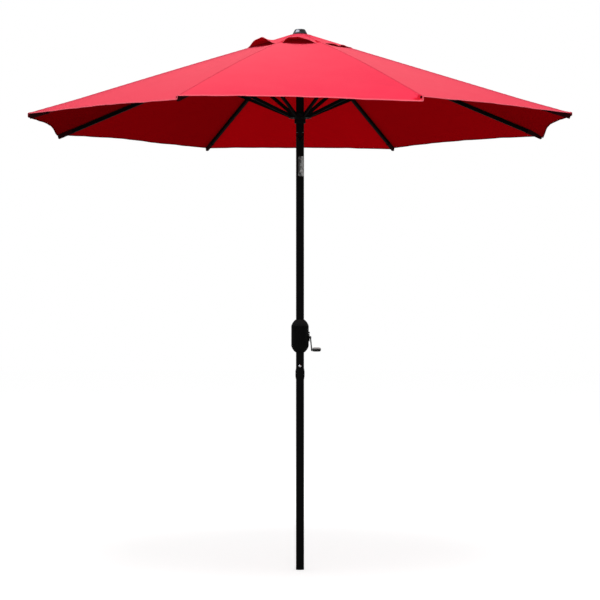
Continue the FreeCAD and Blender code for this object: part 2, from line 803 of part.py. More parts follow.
def make_runner():
    """A slotted ring on a sleeve that slides on the pole, with a keyway for the tilt button."""
    pivot = RUNNER_HEIGHT
    bore = size["pole_radius"] + size["slide_gap"]
    sleeve = bore + size["sleeve_wall"]
    half = size["ring_half"]
    bottom = pivot - half - size["runner_skirt"]
    edge, step = size["hub_edge"], size["hub_step"]
    body = turned("Runner", [
        (bore, bottom),
        (sleeve - edge, bottom),
        (sleeve, bottom + edge),
        (sleeve, pivot - half - step),
        (sleeve + step, pivot - half),
        (size["runner_radius"], pivot - half),
        (size["runner_radius"], pivot + half - edge),
        (size["runner_radius"] - edge, pivot + half),
        (bore, pivot + half),
    ])
    keyway = size["pole_radius"] + size["tilt_button_proud"] + size["keyway_gap"]
    sketch = sketch_on(body, "XY_Plane", pivot, turn=90 - HALF_PITCH.number)
    rectangle(sketch, 0, keyway, -size["keyway_width"] / 2, size["keyway_width"] / 2)
    pocket(body, sketch)
    slot_start = size["pivot_radius"] - strut_swing_radius()
    slot_half = size["strut_width"] / 2 + size["slot_gap"]
    cut_slots(body, slot_start, size["runner_radius"] + edge, slot_half, pivot)
    body.Placement.Rotation = Turn(Z_AXIS, HALF_PITCH.number)
    keep(body, "runner")
    keep(pin_ring("RunnerPins", pivot, slot_half), "runner_pins")


def rib_placement(angle):
    """A rib's own frame: its origin on the pivot, X along the rib and Y across it."""
    outward, _ = directions(angle)
    base = outward * size["pivot_radius"].number + Z_AXIS * size["hub_height"].number
    turn = Turn(Z_AXIS, angle).multiply(Turn(Y_AXIS, size["rib_slope"].number))
    return FreeCAD.Placement(base, turn)


def square_tube(body, start, length, width, depth):
    """A thin rectangular tube along X."""
    sketch = sketch_on(body, "YZ_Plane", start)
    for inset in (Size(0), size["tube_wall"]):
        across, up = width / 2 - inset, depth / 2 - inset
        rectangle(sketch, -across, across, -up, up)
    pad(body, sketch, length)


def make_rib(number):
    body = new_body(f"Rib{number + 1}")
    square_tube(body, -size["rib_tail"], RIB_LENGTH + size["rib_tail"] - size["cap_head"],
                size["rib_width"], size["rib_depth"])
    cross_hole(body, "XZ_Plane", 0, 0, size["pin_radius"] + size["pin_gap"])
    body.Placement = rib_placement(rib_angle(number))
    keep(body, f"rib_{number + 1}")


def make_rib_fittings(number):
    """The plug in a rib's outer end, and the bracket and rivet that its strut hangs from."""
    name = f"RibFittings{number + 1}"
    cap = new_body(f"{name}Cap")
    end = RIB_LENGTH - size["cap_head"]
    for start, length, inset in (
        (end, size["cap_head"], Size(0)),
        (end - size["cap_plug"], size["cap_plug"], size["tube_wall"] + size["nest_gap"]),
    ):
        sketch = sketch_on(cap, "YZ_Plane", start)
        across, up = size["rib_width"] / 2 - inset, size["rib_depth"] / 2 - inset
        rectangle(sketch, -across, across, -up, up)
        pad(cap, sketch, length)

    along, drop, eye = BRACKET_ALONG, size["bracket_drop"], size["bracket_eye"]
    under = size["rib_depth"] / 2 + size["nest_gap"]
    channel = size["rib_width"] / 2 + size["nest_gap"]
    bracket = new_body(f"{name}Bracket")
    sketch = sketch_on(bracket, "XZ_Plane")
    outline(sketch, [
        (along - size["bracket_half"], size["bracket_lap"]),
        (along - size["bracket_half"], -under - size["plate"]),
        (along - eye, -drop, eye),
        (along, -drop - eye, eye),
        (along + eye, -drop),
        (along + size["bracket_half"], -under - size["plate"]),
        (along + size["bracket_half"], size["bracket_lap"]),
    ])
    pad(bracket, sketch, 2 * (channel + size["plate"]), symmetric=True)
    sketch = sketch_on(bracket, "YZ_Plane", along)
    rectangle(sketch, -channel, channel, -under, size["rib_depth"] / 2)
    rectangle(sketch, -channel, channel, -drop - 2 * eye, -under - size["plate"])
    pocket(bracket, sketch)
    cross_hole(bracket, "XZ_Plane", along, -drop, size["pin_radius"])

    rivet = rod(f"{name}Rivet", size["pin_radius"],
                2 * (channel + size["plate"] + size["rivet_end"]), (along, 0, -drop), Y_AXIS)
    fittings = group(name, [cap, bracket, rivet])
    fittings.Placement = rib_placement(rib_angle(number))
    keep(fittings, f"rib_fittings_{number + 1}")


def make_strut(number):
    """A strut, in its own frame from the rib's rivet towards the runner."""
    body = new_body(f"Strut{number + 1}")
    square_tube(body, -size["strut_tail"], size["strut_length"] + 2 * size["strut_tail"],
                size["strut_width"], size["strut_depth"])
    cross_hole(body, "XZ_Plane", 0, 0, size["pin_radius"] + size["pin_gap"])
    cross_hole(body, "XZ_Plane", size["strut_length"], 0,
               size["pin_radius"] + size["open_pivot_gap"])
    angle = rib_angle(number)
    base = rib_placement(angle).multVec(V(BRACKET_ALONG.number, 0, -size["bracket_drop"].number))
    fall = 180 - math.degrees(math.asin(STRUT_RISE_SINE.number))
    body.Placement = FreeCAD.Placement(base, Turn(Z_AXIS, angle).multiply(Turn(Y_AXIS, fall)))
    keep(body, f"strut_{number + 1}")


def gore(name, start, end, sag, lift):
    """One flat gore between two ribs, in a frame that slopes down its middle line.

    start and end are its radii along the ribs, sag is how far its outer edge curves in, and lift
    raises its underside over the canopy's.
    """
    tilt = root(1 + GORE_SLOPE * GORE_SLOPE)
    middle, half = cosine(HALF_PITCH), sine(HALF_PITCH)
    gap = size["seam_gap"]
    near, far = start * middle * tilt, end * middle * tilt
    near_half, far_half = start * half - gap, end * half - gap
    bend = (far_half * far_half + sag * sag) / (2 * sag)
    body = new_body(name)
    sketch = sketch_on(body, "XY_Plane", lift)
    outline(sketch, [
        (near, -near_half),
        (far, -far_half, -bend),
        (far, far_half),
        (near, near_half),
    ])
    pad(body, sketch, size["cloth"], flip=True)
    return body


def make_canopy_panel(number):
    """A gore of the canopy with the vent cap's gore over its upper end."""
    name = f"CanopyPanel{number + 1}"
    main = gore(f"{name}Main", size["vent_radius"], size["canopy_radius"], size["hem_sag"], Size(0))
    cap = gore(f"{name}Cap", size["cap_start"], size["cap_radius"], size["cap_sag"], CAP_LIFT)
    panel = group(name, [main, cap])
    fall = math.degrees(math.atan(GORE_SLOPE.number))
    turn = Turn(Z_AXIS, rib_angle(number) + HALF_PITCH.number).multiply(Turn(Y_AXIS, fall))
    panel.Placement = FreeCAD.Placement(Z_AXIS * CLOTH_APEX.number, turn)
    keep(panel, f"canopy_panel_{number + 1}")


def make_crown_patch():
    """The round patch that the finial clamps on the vent cap."""
    flat, edge = size["crown_flat"], size["crown_radius"]
    fall = SLOPE * (edge - flat)
    bore = size["stud_radius"] + size["nest_gap"]
    top, thick = CROWN_SEAT, size["cloth"]
    body = turned("CrownPatch", [
        (bore, top - thick),
        (flat, top - thick),
        (edge, top - thick - fall),
        (edge, top - fall),
        (flat, top),
        (bore, top),
    ])
    keep(body, "crown_patch")


def make_finial():
    """A turned cap, bored for the hub's stud."""
    base, top = CROWN_SEAT, CROWN_SEAT + size["finial_height"]
    bore = size["stud_radius"] + size["nest_gap"]
    bore_end = base + size["stud_height"] + size["edge"]
    body = turned("Finial", [
        (bore, base),
        (size["finial_base"] - size["edge"], base),
        (size["finial_base"], base + size["edge"]),
        (size["finial_base"], base + size["finial_rim"]),
        (size["finial_top"], top - size["finial_bevel"]),
        (size["finial_top"] - size["finial_bevel"], top),
        (0, top),
        (0, bore_end),
        (bore, bore_end),
    ])
    keep(body, "finial")


def housing_wall(name, back):
    """Half of the hollow barrel round the pole: the front half, or the back half."""
    low, high = size["housing_bottom"], size["housing_top"]
    taper, wall, floor = size["housing_taper"], size["housing_wall"], size["housing_floor"]
    outside, neck = size["housing_radius"], HOUSING_NECK
    bore = size["pole_radius"] + size["housing_gap"]
    bend = 2 * taper
    body = new_body(name)
    sketch = sketch_on(body, "XZ_Plane")
    outline(sketch, [
        (bore, low),
        (neck, low, bend),
        (outside, low + taper),
        (outside, high - taper, bend),
        (neck, high),
        (bore, high),
        (bore, high - floor),
        (neck, high - floor),
        (outside - wall, high - taper),
        (outside - wall, low + taper),
        (neck, low + floor),
        (bore, low + floor),
    ])
    revolve(body, sketch, angle=180, flip=not back)
    return body


def grip_panel(name):
    """The raised grip round the barrel's front: level ribs with grooves between them."""
    root_radius = size["housing_radius"] - size["housing_wall"] / 2
    face = size["housing_radius"]
    crest = face + size["grip_proud"]
    pitch, groove = size["grip_pitch"], size["grip_groove"]
    ribs = int(size["grip_ribs"].number)
    middle = (size["housing_bottom"] + size["housing_top"]) / 2
    start = middle - (ribs * pitch - groove) / 2
    corners = [(-root_radius, start)]
    for number in range(ribs):
        foot = start + number * pitch
        crest_top = foot + pitch - groove
        corners += [(-crest, foot), (-crest, crest_top)]
        if number < ribs - 1:
            corners += [(-face, crest_top), (-face, foot + pitch)]
    corners.append((-root_radius, crest_top))
    body = new_body(name)
    sketch = sketch_on(body, "YZ_Plane")
    outline(sketch, corners)
    panel = revolve(body, sketch, angle=size["grip_angle"].number)
    panel.Midplane = True
    bind(panel, Angle=size["grip_angle"])
    return body


def half_rod(name, radius, start, end, height, back):
    """Half a cylinder along X, the front half or the back half."""
    item = doc.addObject("Part::Cylinder", name)
    item.Angle = 180
    bind(item, Radius=radius, Height=end - start)
    turn = Turn(Y_AXIS, 90).multiply(Turn(Z_AXIS, 0 if back else 180))
    item.Placement = FreeCAD.Placement(V(start.number, 0, height.number), turn)
    return item


def screw_spots():
    middle = (size["housing_bottom"] + size["housing_top"]) / 2
    for side in (-1, 1):
        for rise in (-1, 1):
            yield side * size["post_offset"], middle + rise * size["post_rise"]


def housing_depth():
    """Pole axis to the outside of the housing, measured at the screws."""
    outside, across = size["housing_radius"], size["post_offset"]
    return root(outside * outside - across * across)


def make_housing(label, name, back):
    """One moulded shell: wall, half of the shaft's boss, and four screw posts."""
    side = 1 if back else -1
    depth = housing_depth() - size["housing_wall"] / 2
    outside = size["housing_radius"]
    inner = outside - size["boss_root"]
    items = [
        housing_wall(f"{name}Wall", back),
        half_rod(f"{name}Boss", size["boss_radius"], inner, outside + size["boss_proud"],
                 size["crank_height"], back),
        half_rod(f"{name}Stop", size["stop_radius"], inner, outside + size["stop_proud"],
                 size["crank_height"] + size["stop_rise"], back),
    ]
    if not back:
        items.append(grip_panel(f"{name}Grip"))
    for number, (across, up) in enumerate(screw_spots()):
        items.append(rod(f"{name}Post{number}", size["post_radius"], depth,
                         (across, side * depth.number / 2, up), Y_AXIS))
    holes = [rod(f"{name}ShaftHole", size["shaft_radius"] + size["nest_gap"], outside * 2,
                 (outside, 0, size["crank_height"]), X_AXIS)]
    for number, (across, up) in enumerate(screw_spots()):
        holes.append(rod(f"{name}ScrewHole{number}", size["screw_radius"],
                         2 * size["screw_reach"], (across, 0, up), Y_AXIS))
        if back:
            holes.append(rod(f"{name}HeadHole{number}", size["screw_head"] + size["head_gap"],
                             outside, (across, size["screw_reach"] + outside / 2, up), Y_AXIS))
    shell = cut(name, fuse(f"{name}Solid", items), fuse(f"{name}Holes", holes))
    keep(shell, label)


def make_screws():
    """Four screws from the back, through the rear shell's posts into the front ones."""
    screws = []
    reach, short, head_height = size["screw_reach"], size["screw_short"], size["head_height"]
    for number, (across, up) in enumerate(screw_spots()):
        shank = rod(f"Screw{number}Shank", size["screw_radius"], 2 * reach - short,
                    (across, short / 2, up), Y_AXIS)
        head = rod(f"Screw{number}Head", size["screw_head"], head_height,
                   (across, reach + head_height / 2, up), Y_AXIS)
        screws.append(fuse(f"Screw{number}", [shank, head]))
    keep(group("HousingScrews", screws), "housing_screws")


def make_crank():
    """Shaft and spool across the pole, with the arm, the knob's pin and the knob outside."""
    height = size["crank_height"]
    arm_start = size["housing_radius"] + size["boss_proud"] + size["arm_gap"]
    shaft_start = -(size["pole_radius"] + size["shaft_tail"])
    shaft_end = arm_start + size["arm_thick"] + size["shaft_end"]
    shaft = rod("CrankShaft", size["shaft_radius"], shaft_end - shaft_start,
                ((shaft_start + shaft_end) / 2, 0, height), X_AXIS)
    keep(shaft, "crank_shaft")

    half, reach = size["spool_length"] / 2, POLE_BORE - size["spool_gap"]
    flange = root(reach * reach - half * half)
    inner = half - size["spool_flange"]
    spool = new_body("CrankSpool")
    sketch = sketch_on(spool, "XY_Plane")
    outline(sketch, [
        (-half, size["shaft_radius"]),
        (half, size["shaft_radius"]),
        (half, flange),
        (inner, flange),
        (inner, size["spool_core"]),
        (-inner, size["spool_core"]),
        (-inner, flange),
        (-half, flange),
    ])
    revolve(spool, sketch, axis="H_Axis")
    spool.Placement.Base = Z_AXIS * height.number
    keep(spool, "crank_spool")

    lean, reach = size["arm_lean"], size["arm_width"] / 2
    slope = lean / size["arm_length"]
    top, bottom = reach, -size["arm_length"] - reach
    arm = new_body("CrankArm")
    sketch = sketch_on(arm, "XZ_Plane")
    outline(sketch, [
        (arm_start - slope * top, height + top),
        (arm_start - slope * bottom, height + bottom),
        (arm_start - slope * bottom + size["arm_thick"], height + bottom),
        (arm_start - slope * top + size["arm_thick"], height + top),
    ])
    blank = pad(arm, sketch, size["arm_width"], symmetric=True)
    doc.recompute()
    ends = [f"Edge{number + 1}" for number, edge in enumerate(blank.Shape.Edges)
            if abs(edge.tangentAt(edge.FirstParameter).x) > 0.9]
    rounding = arm.newObject("PartDesign::Fillet", "CrankArmRound")
    rounding.Base = (blank, ends)
    bind(rounding, Radius=reach - size["arm_flat"])
    cross_hole(arm, "YZ_Plane", 0, height, size["shaft_radius"])
    cross_hole(arm, "YZ_Plane", 0, height - size["arm_length"], size["knob_pin_radius"])
    keep(arm, "crank_arm")

    knob_start = arm_start + lean + size["arm_thick"] + 2 * size["knob_gap"]
    knob_end = knob_start + size["knob_length"]
    pin = new_body("KnobPin")
    sketch = sketch_on(pin, "XY_Plane")
    thin, head = size["knob_pin_radius"], size["knob_pin_radius"] + size["knob_head"]
    seat, edge = knob_end + size["knob_gap"], size["edge"]
    outline(sketch, [
        (arm_start + lean - size["knob_gap"], 0),
        (arm_start + lean - size["knob_gap"], thin),
        (seat, thin),
        (seat, head),
        (seat + size["knob_head"] - edge, head),
        (seat + size["knob_head"], head - edge),
        (seat + size["knob_head"], 0),
    ])
    revolve(pin, sketch, axis="H_Axis")
    pin.Placement.Base = Z_AXIS * (height - size["arm_length"]).number
    keep(pin, "knob_pin")

    bore, edge = size["knob_pin_radius"] + size["pin_gap"], size["knob_edge"]
    end_radius = size["knob_radius"] - size["knob_waist"]
    middle, half_width = (knob_start + knob_end) / 2, size["knob_length"] / 2 - edge
    knob = new_body("CrankKnob")
    sketch = sketch_on(knob, "XY_Plane")
    outline(sketch, [
        (knob_start, bore),
        (knob_start, end_radius - edge),
        (knob_start + edge, end_radius),
        (middle - half_width / 2, size["knob_radius"]),
        (middle + half_width / 2, size["knob_radius"]),
        (knob_end - edge, end_radius),
        (knob_end, end_radius - edge),
        (knob_end, bore),
    ])
    revolve(knob, sketch, axis="H_Axis")
    knob.Placement.Base = Z_AXIS * (height - size["arm_length"]).number
    keep(knob, "crank_knob")


def make_all():
    make_lower_pole()
    make_foot_plug()
    make_joiner()
    make_collar()
    make_main_pole()
    make_snap_button()
    make_snap_spring()
    make_lower_knuckle()
    make_upper_knuckle()
    make_tilt_pin()
    make_tilt_button()
    make_upper_pole()
    make_pulley()
    make_hub()
    make_runner()
    make_crown_patch()
    make_finial()
    make_housing("crank_housing_front", "HousingFront", back=False)
    make_housing("crank_housing_rear", "HousingRear", back=True)
    make_screws()
    make_crank()
    for number in range(int(size["rib_count"].number)):
        make_rib(number)
        make_rib_fittings(number)
        make_strut(number)
        make_canopy_panel(number)


def check():
    """Stop if any object failed, or any piece has no valid solid."""
    for item in doc.Objects:
        if {"Invalid", "Error"} & set(item.State):
            raise RuntimeError(f"{item.Name} ({item.Label}) failed: {item.State}")
    for item in pieces:
        shape = item.Shape
        if shape.isNull() or not shape.isValid() or not shape.Solids:
            raise RuntimeError(f"{item.Label} has no valid solid")


make_all()
doc.recompute()
check()
os.makedirs("parts", exist_ok=True)
for item in pieces:
    item.Shape.exportStep(f"parts/{item.Label}.step")
print(f"{len(pieces)} pieces written")
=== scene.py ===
"""Dresses an eight-rib crank umbrella: its cloth, stitching, finishes, floor, lights and camera.

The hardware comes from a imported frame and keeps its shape. Lengths are in metres. The pole stands on
the Z axis, the crank is on the +X side and the snap button faces -Y. Gore n runs from rib n to the
next one.
"""

import json
import math
from functools import cache

import bpy
import numpy as np
from bpy.props import FloatProperty, FloatVectorProperty, IntProperty, PointerProperty
from bpy.types import Operator, Panel, PropertyGroup
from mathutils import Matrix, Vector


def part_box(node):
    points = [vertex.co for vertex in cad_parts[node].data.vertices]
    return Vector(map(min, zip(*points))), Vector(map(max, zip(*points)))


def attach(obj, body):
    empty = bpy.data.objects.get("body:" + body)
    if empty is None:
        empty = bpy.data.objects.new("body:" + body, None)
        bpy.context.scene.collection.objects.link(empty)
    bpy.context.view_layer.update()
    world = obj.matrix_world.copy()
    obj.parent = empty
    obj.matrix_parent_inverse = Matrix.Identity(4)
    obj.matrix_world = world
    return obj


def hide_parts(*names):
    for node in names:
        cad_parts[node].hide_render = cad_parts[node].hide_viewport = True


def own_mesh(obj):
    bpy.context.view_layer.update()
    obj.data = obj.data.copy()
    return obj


bl_info = {
    "name": "Crank Umbrella",
    "version": (1, 0, 0),
    "blender": (4, 5, 0),
    "location": "3D View > Sidebar > Umbrella",
    "description": "Dresses a crank umbrella with its canopy, vent cap and finishes",
    "category": "Add Mesh",
}

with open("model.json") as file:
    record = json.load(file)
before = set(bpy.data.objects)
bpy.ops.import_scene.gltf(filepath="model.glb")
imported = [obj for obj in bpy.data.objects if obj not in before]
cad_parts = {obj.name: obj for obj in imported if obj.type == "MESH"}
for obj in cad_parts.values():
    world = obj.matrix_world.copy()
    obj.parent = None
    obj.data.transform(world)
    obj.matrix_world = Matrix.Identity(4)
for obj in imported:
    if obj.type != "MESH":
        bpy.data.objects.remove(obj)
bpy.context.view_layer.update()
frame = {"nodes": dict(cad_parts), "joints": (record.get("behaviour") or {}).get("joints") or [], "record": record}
JOINTS = {joint["name"]: joint for joint in frame["joints"]}
FINISH_OF_NODE = {
    part["node"]: part["material_slot"] for part in frame["record"]["subparts"]
}
RIBS = sum(name.startswith("canopy_panel_") for name in frame["nodes"])
HALF_PITCH = math.pi / RIBS
# Length along a gore's middle line for each metre along its ribs.
APOTHEM = math.cos(HALF_PITCH)


def vertices(node):
    """A node's vertices, one row of x, y, z each."""
    mesh = frame["nodes"][node].data
    flat = np.empty(len(mesh.vertices) * 3, np.float32)
    mesh.vertices.foreach_get("co", flat)
    return flat.reshape(-1, 3).astype(float)


def fold_joint(rib):
    """The joint that a rib folds on; the first rib drives the rest."""
    return "fold" if rib == 1 else f"rib_{rib}_fold"


def rib_heading(rib):
    """The angle round the pole at which a rib points."""
    x, y, _ = JOINTS[fold_joint(rib)]["pos_m"]
    return math.atan2(y, x)


def outward(angle):
    """The level unit vector at an angle round the pole."""
    return np.array([math.cos(angle), math.sin(angle), 0.0])


def rib_fall():
    """How much a rib drops for each metre outwards, from a line fitted through its vertices."""
    rib = vertices("rib_1")
    return -np.polyfit(rib @ outward(rib_heading(1)), rib[:, 2], 1)[0]


def cloth_corner():
    """Radius and height of the canopy's lowest corner."""
    panel = vertices("canopy_panel_1")
    radius = np.hypot(panel[:, 0], panel[:, 1])
    lowest = panel[:, 2].argmin()
    return radius[lowest], panel[lowest, 2]


FALL = rib_fall()
REACH, TIP_HEIGHT = cloth_corner()
APEX = TIP_HEIGHT + REACH * FALL
HUB_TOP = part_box("finial")[0].z
POLE_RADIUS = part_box("lower_pole")[1].x


# ---------------------------------------------------------------- what a user would change


class CanopySizes(PropertyGroup):
    """Sizes of the main canopy."""

    vent_radius: FloatProperty(
        name="Vent radius", description="Opening under the cap, along a rib",
        default=0.155, unit="LENGTH")
    cloth: FloatProperty(
        name="Cloth", description="Thickness of one layer", default=0.0011, unit="LENGTH")
    hem_width: FloatProperty(
        name="Hem width", description="Cloth turned back and sewn along an edge",
        default=0.014, unit="LENGTH")
    hem_curve: FloatProperty(
        name="Hem curve", description="How far a gore's outer edge curves in",
        default=0.022, unit="LENGTH")
    pocket_length: FloatProperty(
        name="Pocket length", description="Sleeve that holds the end of a rib",
        default=0.085, unit="LENGTH")
    seam_width: FloatProperty(
        name="Seam width", description="Felled seam along each rib", default=0.012, unit="LENGTH")
    gore_hollow: FloatProperty(
        name="Gore hollow", description="How far a gore dips between its ribs",
        default=0.005, unit="LENGTH")
    overhang: FloatProperty(
        name="Overhang", description="Cloth's corner beyond the rib's end", default=0.011, unit="LENGTH")
    closed_share: FloatProperty(
        name="Closed share", description="Width left in a folded gore", default=0.218, min=0.01, max=1)


class CapSizes(PropertyGroup):
    """Sizes of the vent cap and the crown patch."""

    radius: FloatProperty(
        name="Radius", description="Cap along a rib", default=0.262, unit="LENGTH")
    inner_radius: FloatProperty(
        name="Inner radius", description="Cap's start under the crown patch",
        default=0.0425, unit="LENGTH")
    clearance: FloatProperty(
        name="Clearance", description="Cap over the canopy at the ribs", default=0.0035, unit="LENGTH")
    crown_flat: FloatProperty(
        name="Crown flat", description="Radius of the level middle", default=0.034, unit="LENGTH")
    crown_round: FloatProperty(
        name="Crown round", description="How softly the middle turns into the slope",
        default=0.010, unit="LENGTH")
    patch_radius: FloatProperty(
        name="Patch radius", description="Round patch under the finial", default=0.060, unit="LENGTH")
    hem_width: FloatProperty(
        name="Hem width", description="Sewn edge of the cap", default=0.009, unit="LENGTH")
    closed_share: FloatProperty(
        name="Closed share", description="Width left in a folded cap", default=0.55, min=0.01, max=1)


class Colours(PropertyGroup):
    """Colours of the finishes."""

    cloth_outside: FloatVectorProperty(
        name="Cloth outside", description="Sunlit face of the cloth", subtype="COLOR",
        default=(0.59, 0.022, 0.054), min=0, max=1)
    # The inside's colour is the outside's red, darker and deeper: painted shade.
    cloth_inside: FloatVectorProperty(
        name="Cloth inside", description="Shaded face of the cloth", subtype="COLOR",
        default=(0.405, 0.0006, 0.0034), min=0, max=1)
    thread: FloatVectorProperty(
        name="Thread", description="Sewing thread and turned edges", subtype="COLOR",
        default=(0.62, 0.10, 0.13), min=0, max=1)
    # The pockets' near-black colour is painted shade.
    shaded_webbing: FloatVectorProperty(
        name="Webbing", description="Sleeves on the ribs' ends", subtype="COLOR",
        default=(0.010, 0.0012, 0.0018), min=0, max=1)
    black: FloatVectorProperty(
        name="Black", description="Powder coat and moulded parts", subtype="COLOR",
        default=(0.0018, 0.0018, 0.0018), min=0, max=1)
    steel: FloatVectorProperty(
        name="Steel", description="Bare pins, rivets and screws", subtype="COLOR",
        default=(0.52, 0.53, 0.54), min=0, max=1)


class StageSizes(PropertyGroup):
    """Camera, floor and lights."""

    camera_distance: FloatProperty(
        name="Camera distance", description="Camera to the pole", default=8.905, unit="LENGTH")
    camera_height: FloatProperty(
        name="Camera height", description="Camera over the floor", default=1.2162, unit="LENGTH")
    focal_length: FloatProperty(
        name="Focal length", description="Lens, in millimetres", default=113.34)
    rise: FloatProperty(
        name="Rise", description="Lens shift upwards, as a share of the picture", default=0.0192)
    floor_size: FloatProperty(
        name="Floor size", description="Side of the floor", default=60, unit="LENGTH")
    key_power: FloatProperty(
        name="Key power", description="Large light over the front, in watts", default=352)
    low_power: FloatProperty(
        name="Low power", description="Light from low down in front, in watts", default=260)
    gleam_power: FloatProperty(
        name="Gleam power", description="Light for highlights alone, from the left, in watts",
        default=950)
    sky: FloatProperty(
        name="Sky", description="Strength of the even light all round", default=0.6)


# ---------------------------------------------------------------- shapes


def smooth(x):
    """A soft step: 3x squared less 2x cubed, held to 0 below 0 and to 1 above 1."""
    x = np.clip(x, 0, 1)
    return x * x * (3 - 2 * x)


def crowded(count, power):
    """Numbers from -1 to 1, closest together near 0: the sign times the size to a power."""
    even = np.linspace(-1, 1, count)
    return np.sign(even) * np.abs(even) ** power


def flow(heights, share):
    """A smooth curve through evenly spaced heights: between two of them it is the cubic whose slopes
    at its ends are those of the chords between their neighbours."""
    heights = np.asarray(heights, float)
    padded = np.concatenate([[2 * heights[0] - heights[1]], heights, [2 * heights[-1] - heights[-2]]])
    place = np.clip(share, 0, 1) * (len(heights) - 1)
    step = np.minimum(place.astype(int), len(heights) - 2)
    part = place - step
    before, start, end, after = (padded[step + shift] for shift in range(4))
    return start + part / 2 * (
        end - before
        + part * (2 * before - 5 * start + 4 * end - after + part * (3 * (start - end) + after - before)))


def within(distance, width, step):
    """1 closer than a width to a line, and 0 past it, with a soft step between."""
    return 1 - smooth((distance - width) / step)


def stepped(stops, counts):
    """A column of numbers from the first stop to the last, with even steps from each to the next."""
    spans = zip(stops, stops[1:], counts)
    parts = [np.linspace(start, end, count, endpoint=False) for start, end, count in spans]
    return np.concatenate([*parts, stops[-1:]])[:, None]


def pairs(first, second):
    """Two numbers for each point of a grid."""
    return np.stack(np.broadcast_arrays(first, second), axis=-1)


def round_pole(radius, angle, height):
    """Points at a distance from the pole's axis, an angle round it and a height."""
    return np.stack(
        np.broadcast_arrays(radius * np.cos(angle), radius * np.sin(angle), height), axis=-1)


def grid_normals(top, closed):
    """Unit normals of a grid of points: the cross product of its two gradients, with the sign that
    points the grid's middle one upwards. A closed grid's last column is its first again."""
    rows, columns = top.shape[:2]
    down = np.gradient(top, axis=0)
    if closed:
        wrapped = np.concatenate([top[:, -2:-1], top, top[:, 1:2]], axis=1)
        across = (wrapped[:, 2:] - wrapped[:, :-2]) / 2
    else:
        across = np.gradient(top, axis=1)
    normal = np.cross(down, across)
    normal /= np.linalg.norm(normal, axis=2, keepdims=True)
    return normal * np.sign(normal[rows // 2, columns // 2, 2])


def sharpen_rims(mesh, rows, columns):
    """Mark the edges round each of a shell's two layers as sharp."""
    layer = rows * columns
    ends = np.empty(len(mesh.edges) * 2, np.int32)
    mesh.edges.foreach_get("vertices", ends)
    ends = ends.reshape(-1, 2)
    row, column = np.divmod(ends % layer, columns)
    along_rim = np.zeros(len(ends), bool)
    for line, last in ((row, rows - 1), (column, columns - 1)):
        along_rim |= (line[:, 0] == line[:, 1]) & np.isin(line[:, 0], (0, last))
    along_rim &= ends[:, 0] // layer == ends[:, 1] // layer
    sharp = mesh.attributes.new("sharp_edge", "BOOLEAN", "EDGE")
    sharp.data.foreach_set("value", along_rim)


def sheet_shell(
    name, top, thickness, cloth_map, edge_map, tone_map=(0, 0), under_tone=(0, 0), closed=False,
):
    """A closed shell of cloth: the grid of points `top`, and the same grid moved in by `thickness`.

    The way in is against the grid's normals. The inner face and the walls along the grid's first and
    last columns take the second material. The maps hold each point's place in the cloth, its
    distances from the seam and from the edge, in metres, and its tone: how pale it is, from bleaching
    and painted light, with deep painted shade below 0, and how much painted shade it has. The inner
    face has its own values of those last two.
    """
    rows, columns = top.shape[:2]
    normal = grid_normals(top, closed)
    under = top - normal * np.broadcast_to(thickness, (rows, columns))[..., None]
    points = np.concatenate([top.reshape(-1, 3), under.reshape(-1, 3)])
    layer = rows * columns
    index = np.arange(layer).reshape(rows, columns)
    quads = np.stack([index[:-1, :-1], index[1:, :-1], index[1:, 1:], index[:-1, 1:]], axis=-1)
    quads = quads.reshape(-1, 4)
    rim = np.concatenate([index[:, 0], index[-1, 1:], index[-2::-1, -1], index[0, -2:0:-1]])
    rim_next = np.roll(rim, -1)
    walls = np.stack([rim, rim_next, rim_next + layer, rim + layer], axis=-1)
    faces = np.concatenate([quads, quads[:, ::-1] + layer, walls[:, ::-1]])
    corners = points[quads]
    facing = np.cross(corners[:, 1] - corners[:, 0], corners[:, 3] - corners[:, 0])
    if (facing * normal[:-1, :-1].reshape(-1, 3)).sum() < 0:
        faces = faces[:, ::-1]
    mesh = bpy.data.meshes.new(name)
    mesh.from_pydata(points, [], faces)

    inner_face, side_walls = len(quads), rows - 1
    last_side = 2 * inner_face + side_walls + columns - 1
    material = np.zeros(len(faces), np.int32)
    material[inner_face:2 * inner_face + side_walls] = 1
    material[last_side:last_side + side_walls] = 1
    mesh.polygons.foreach_set("material_index", material)
    mesh.polygons.foreach_set("use_smooth", np.ones(len(faces), bool))
    sharpen_rims(mesh, rows, columns)

    vertex = np.empty(len(mesh.loops), np.int32)
    mesh.loops.foreach_get("vertex_index", vertex)
    for map_name, layers in (
        ("Cloth", (cloth_map, cloth_map)),
        ("Edges", (edge_map, edge_map)),
        ("Tone", (tone_map, under_tone)),
    ):
        both = [np.broadcast_to(values, (rows, columns, 2)).reshape(-1, 2) for values in layers]
        values = np.concatenate(both)[vertex].astype(np.float32)
        mesh.uv_layers.new(name=map_name).data.foreach_set("uv", values.ravel())
    mesh.validate()
    mesh.update()
    piece = bpy.data.objects.new(name, mesh)
    bpy.context.scene.collection.objects.link(piece)
    return piece


def finish_piece(piece, body, slot, *materials):
    """Give a piece its materials and its body. The record's slot, `slot`, is not used."""
    for material in materials:
        piece.data.materials.append(material)
    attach(piece, body)


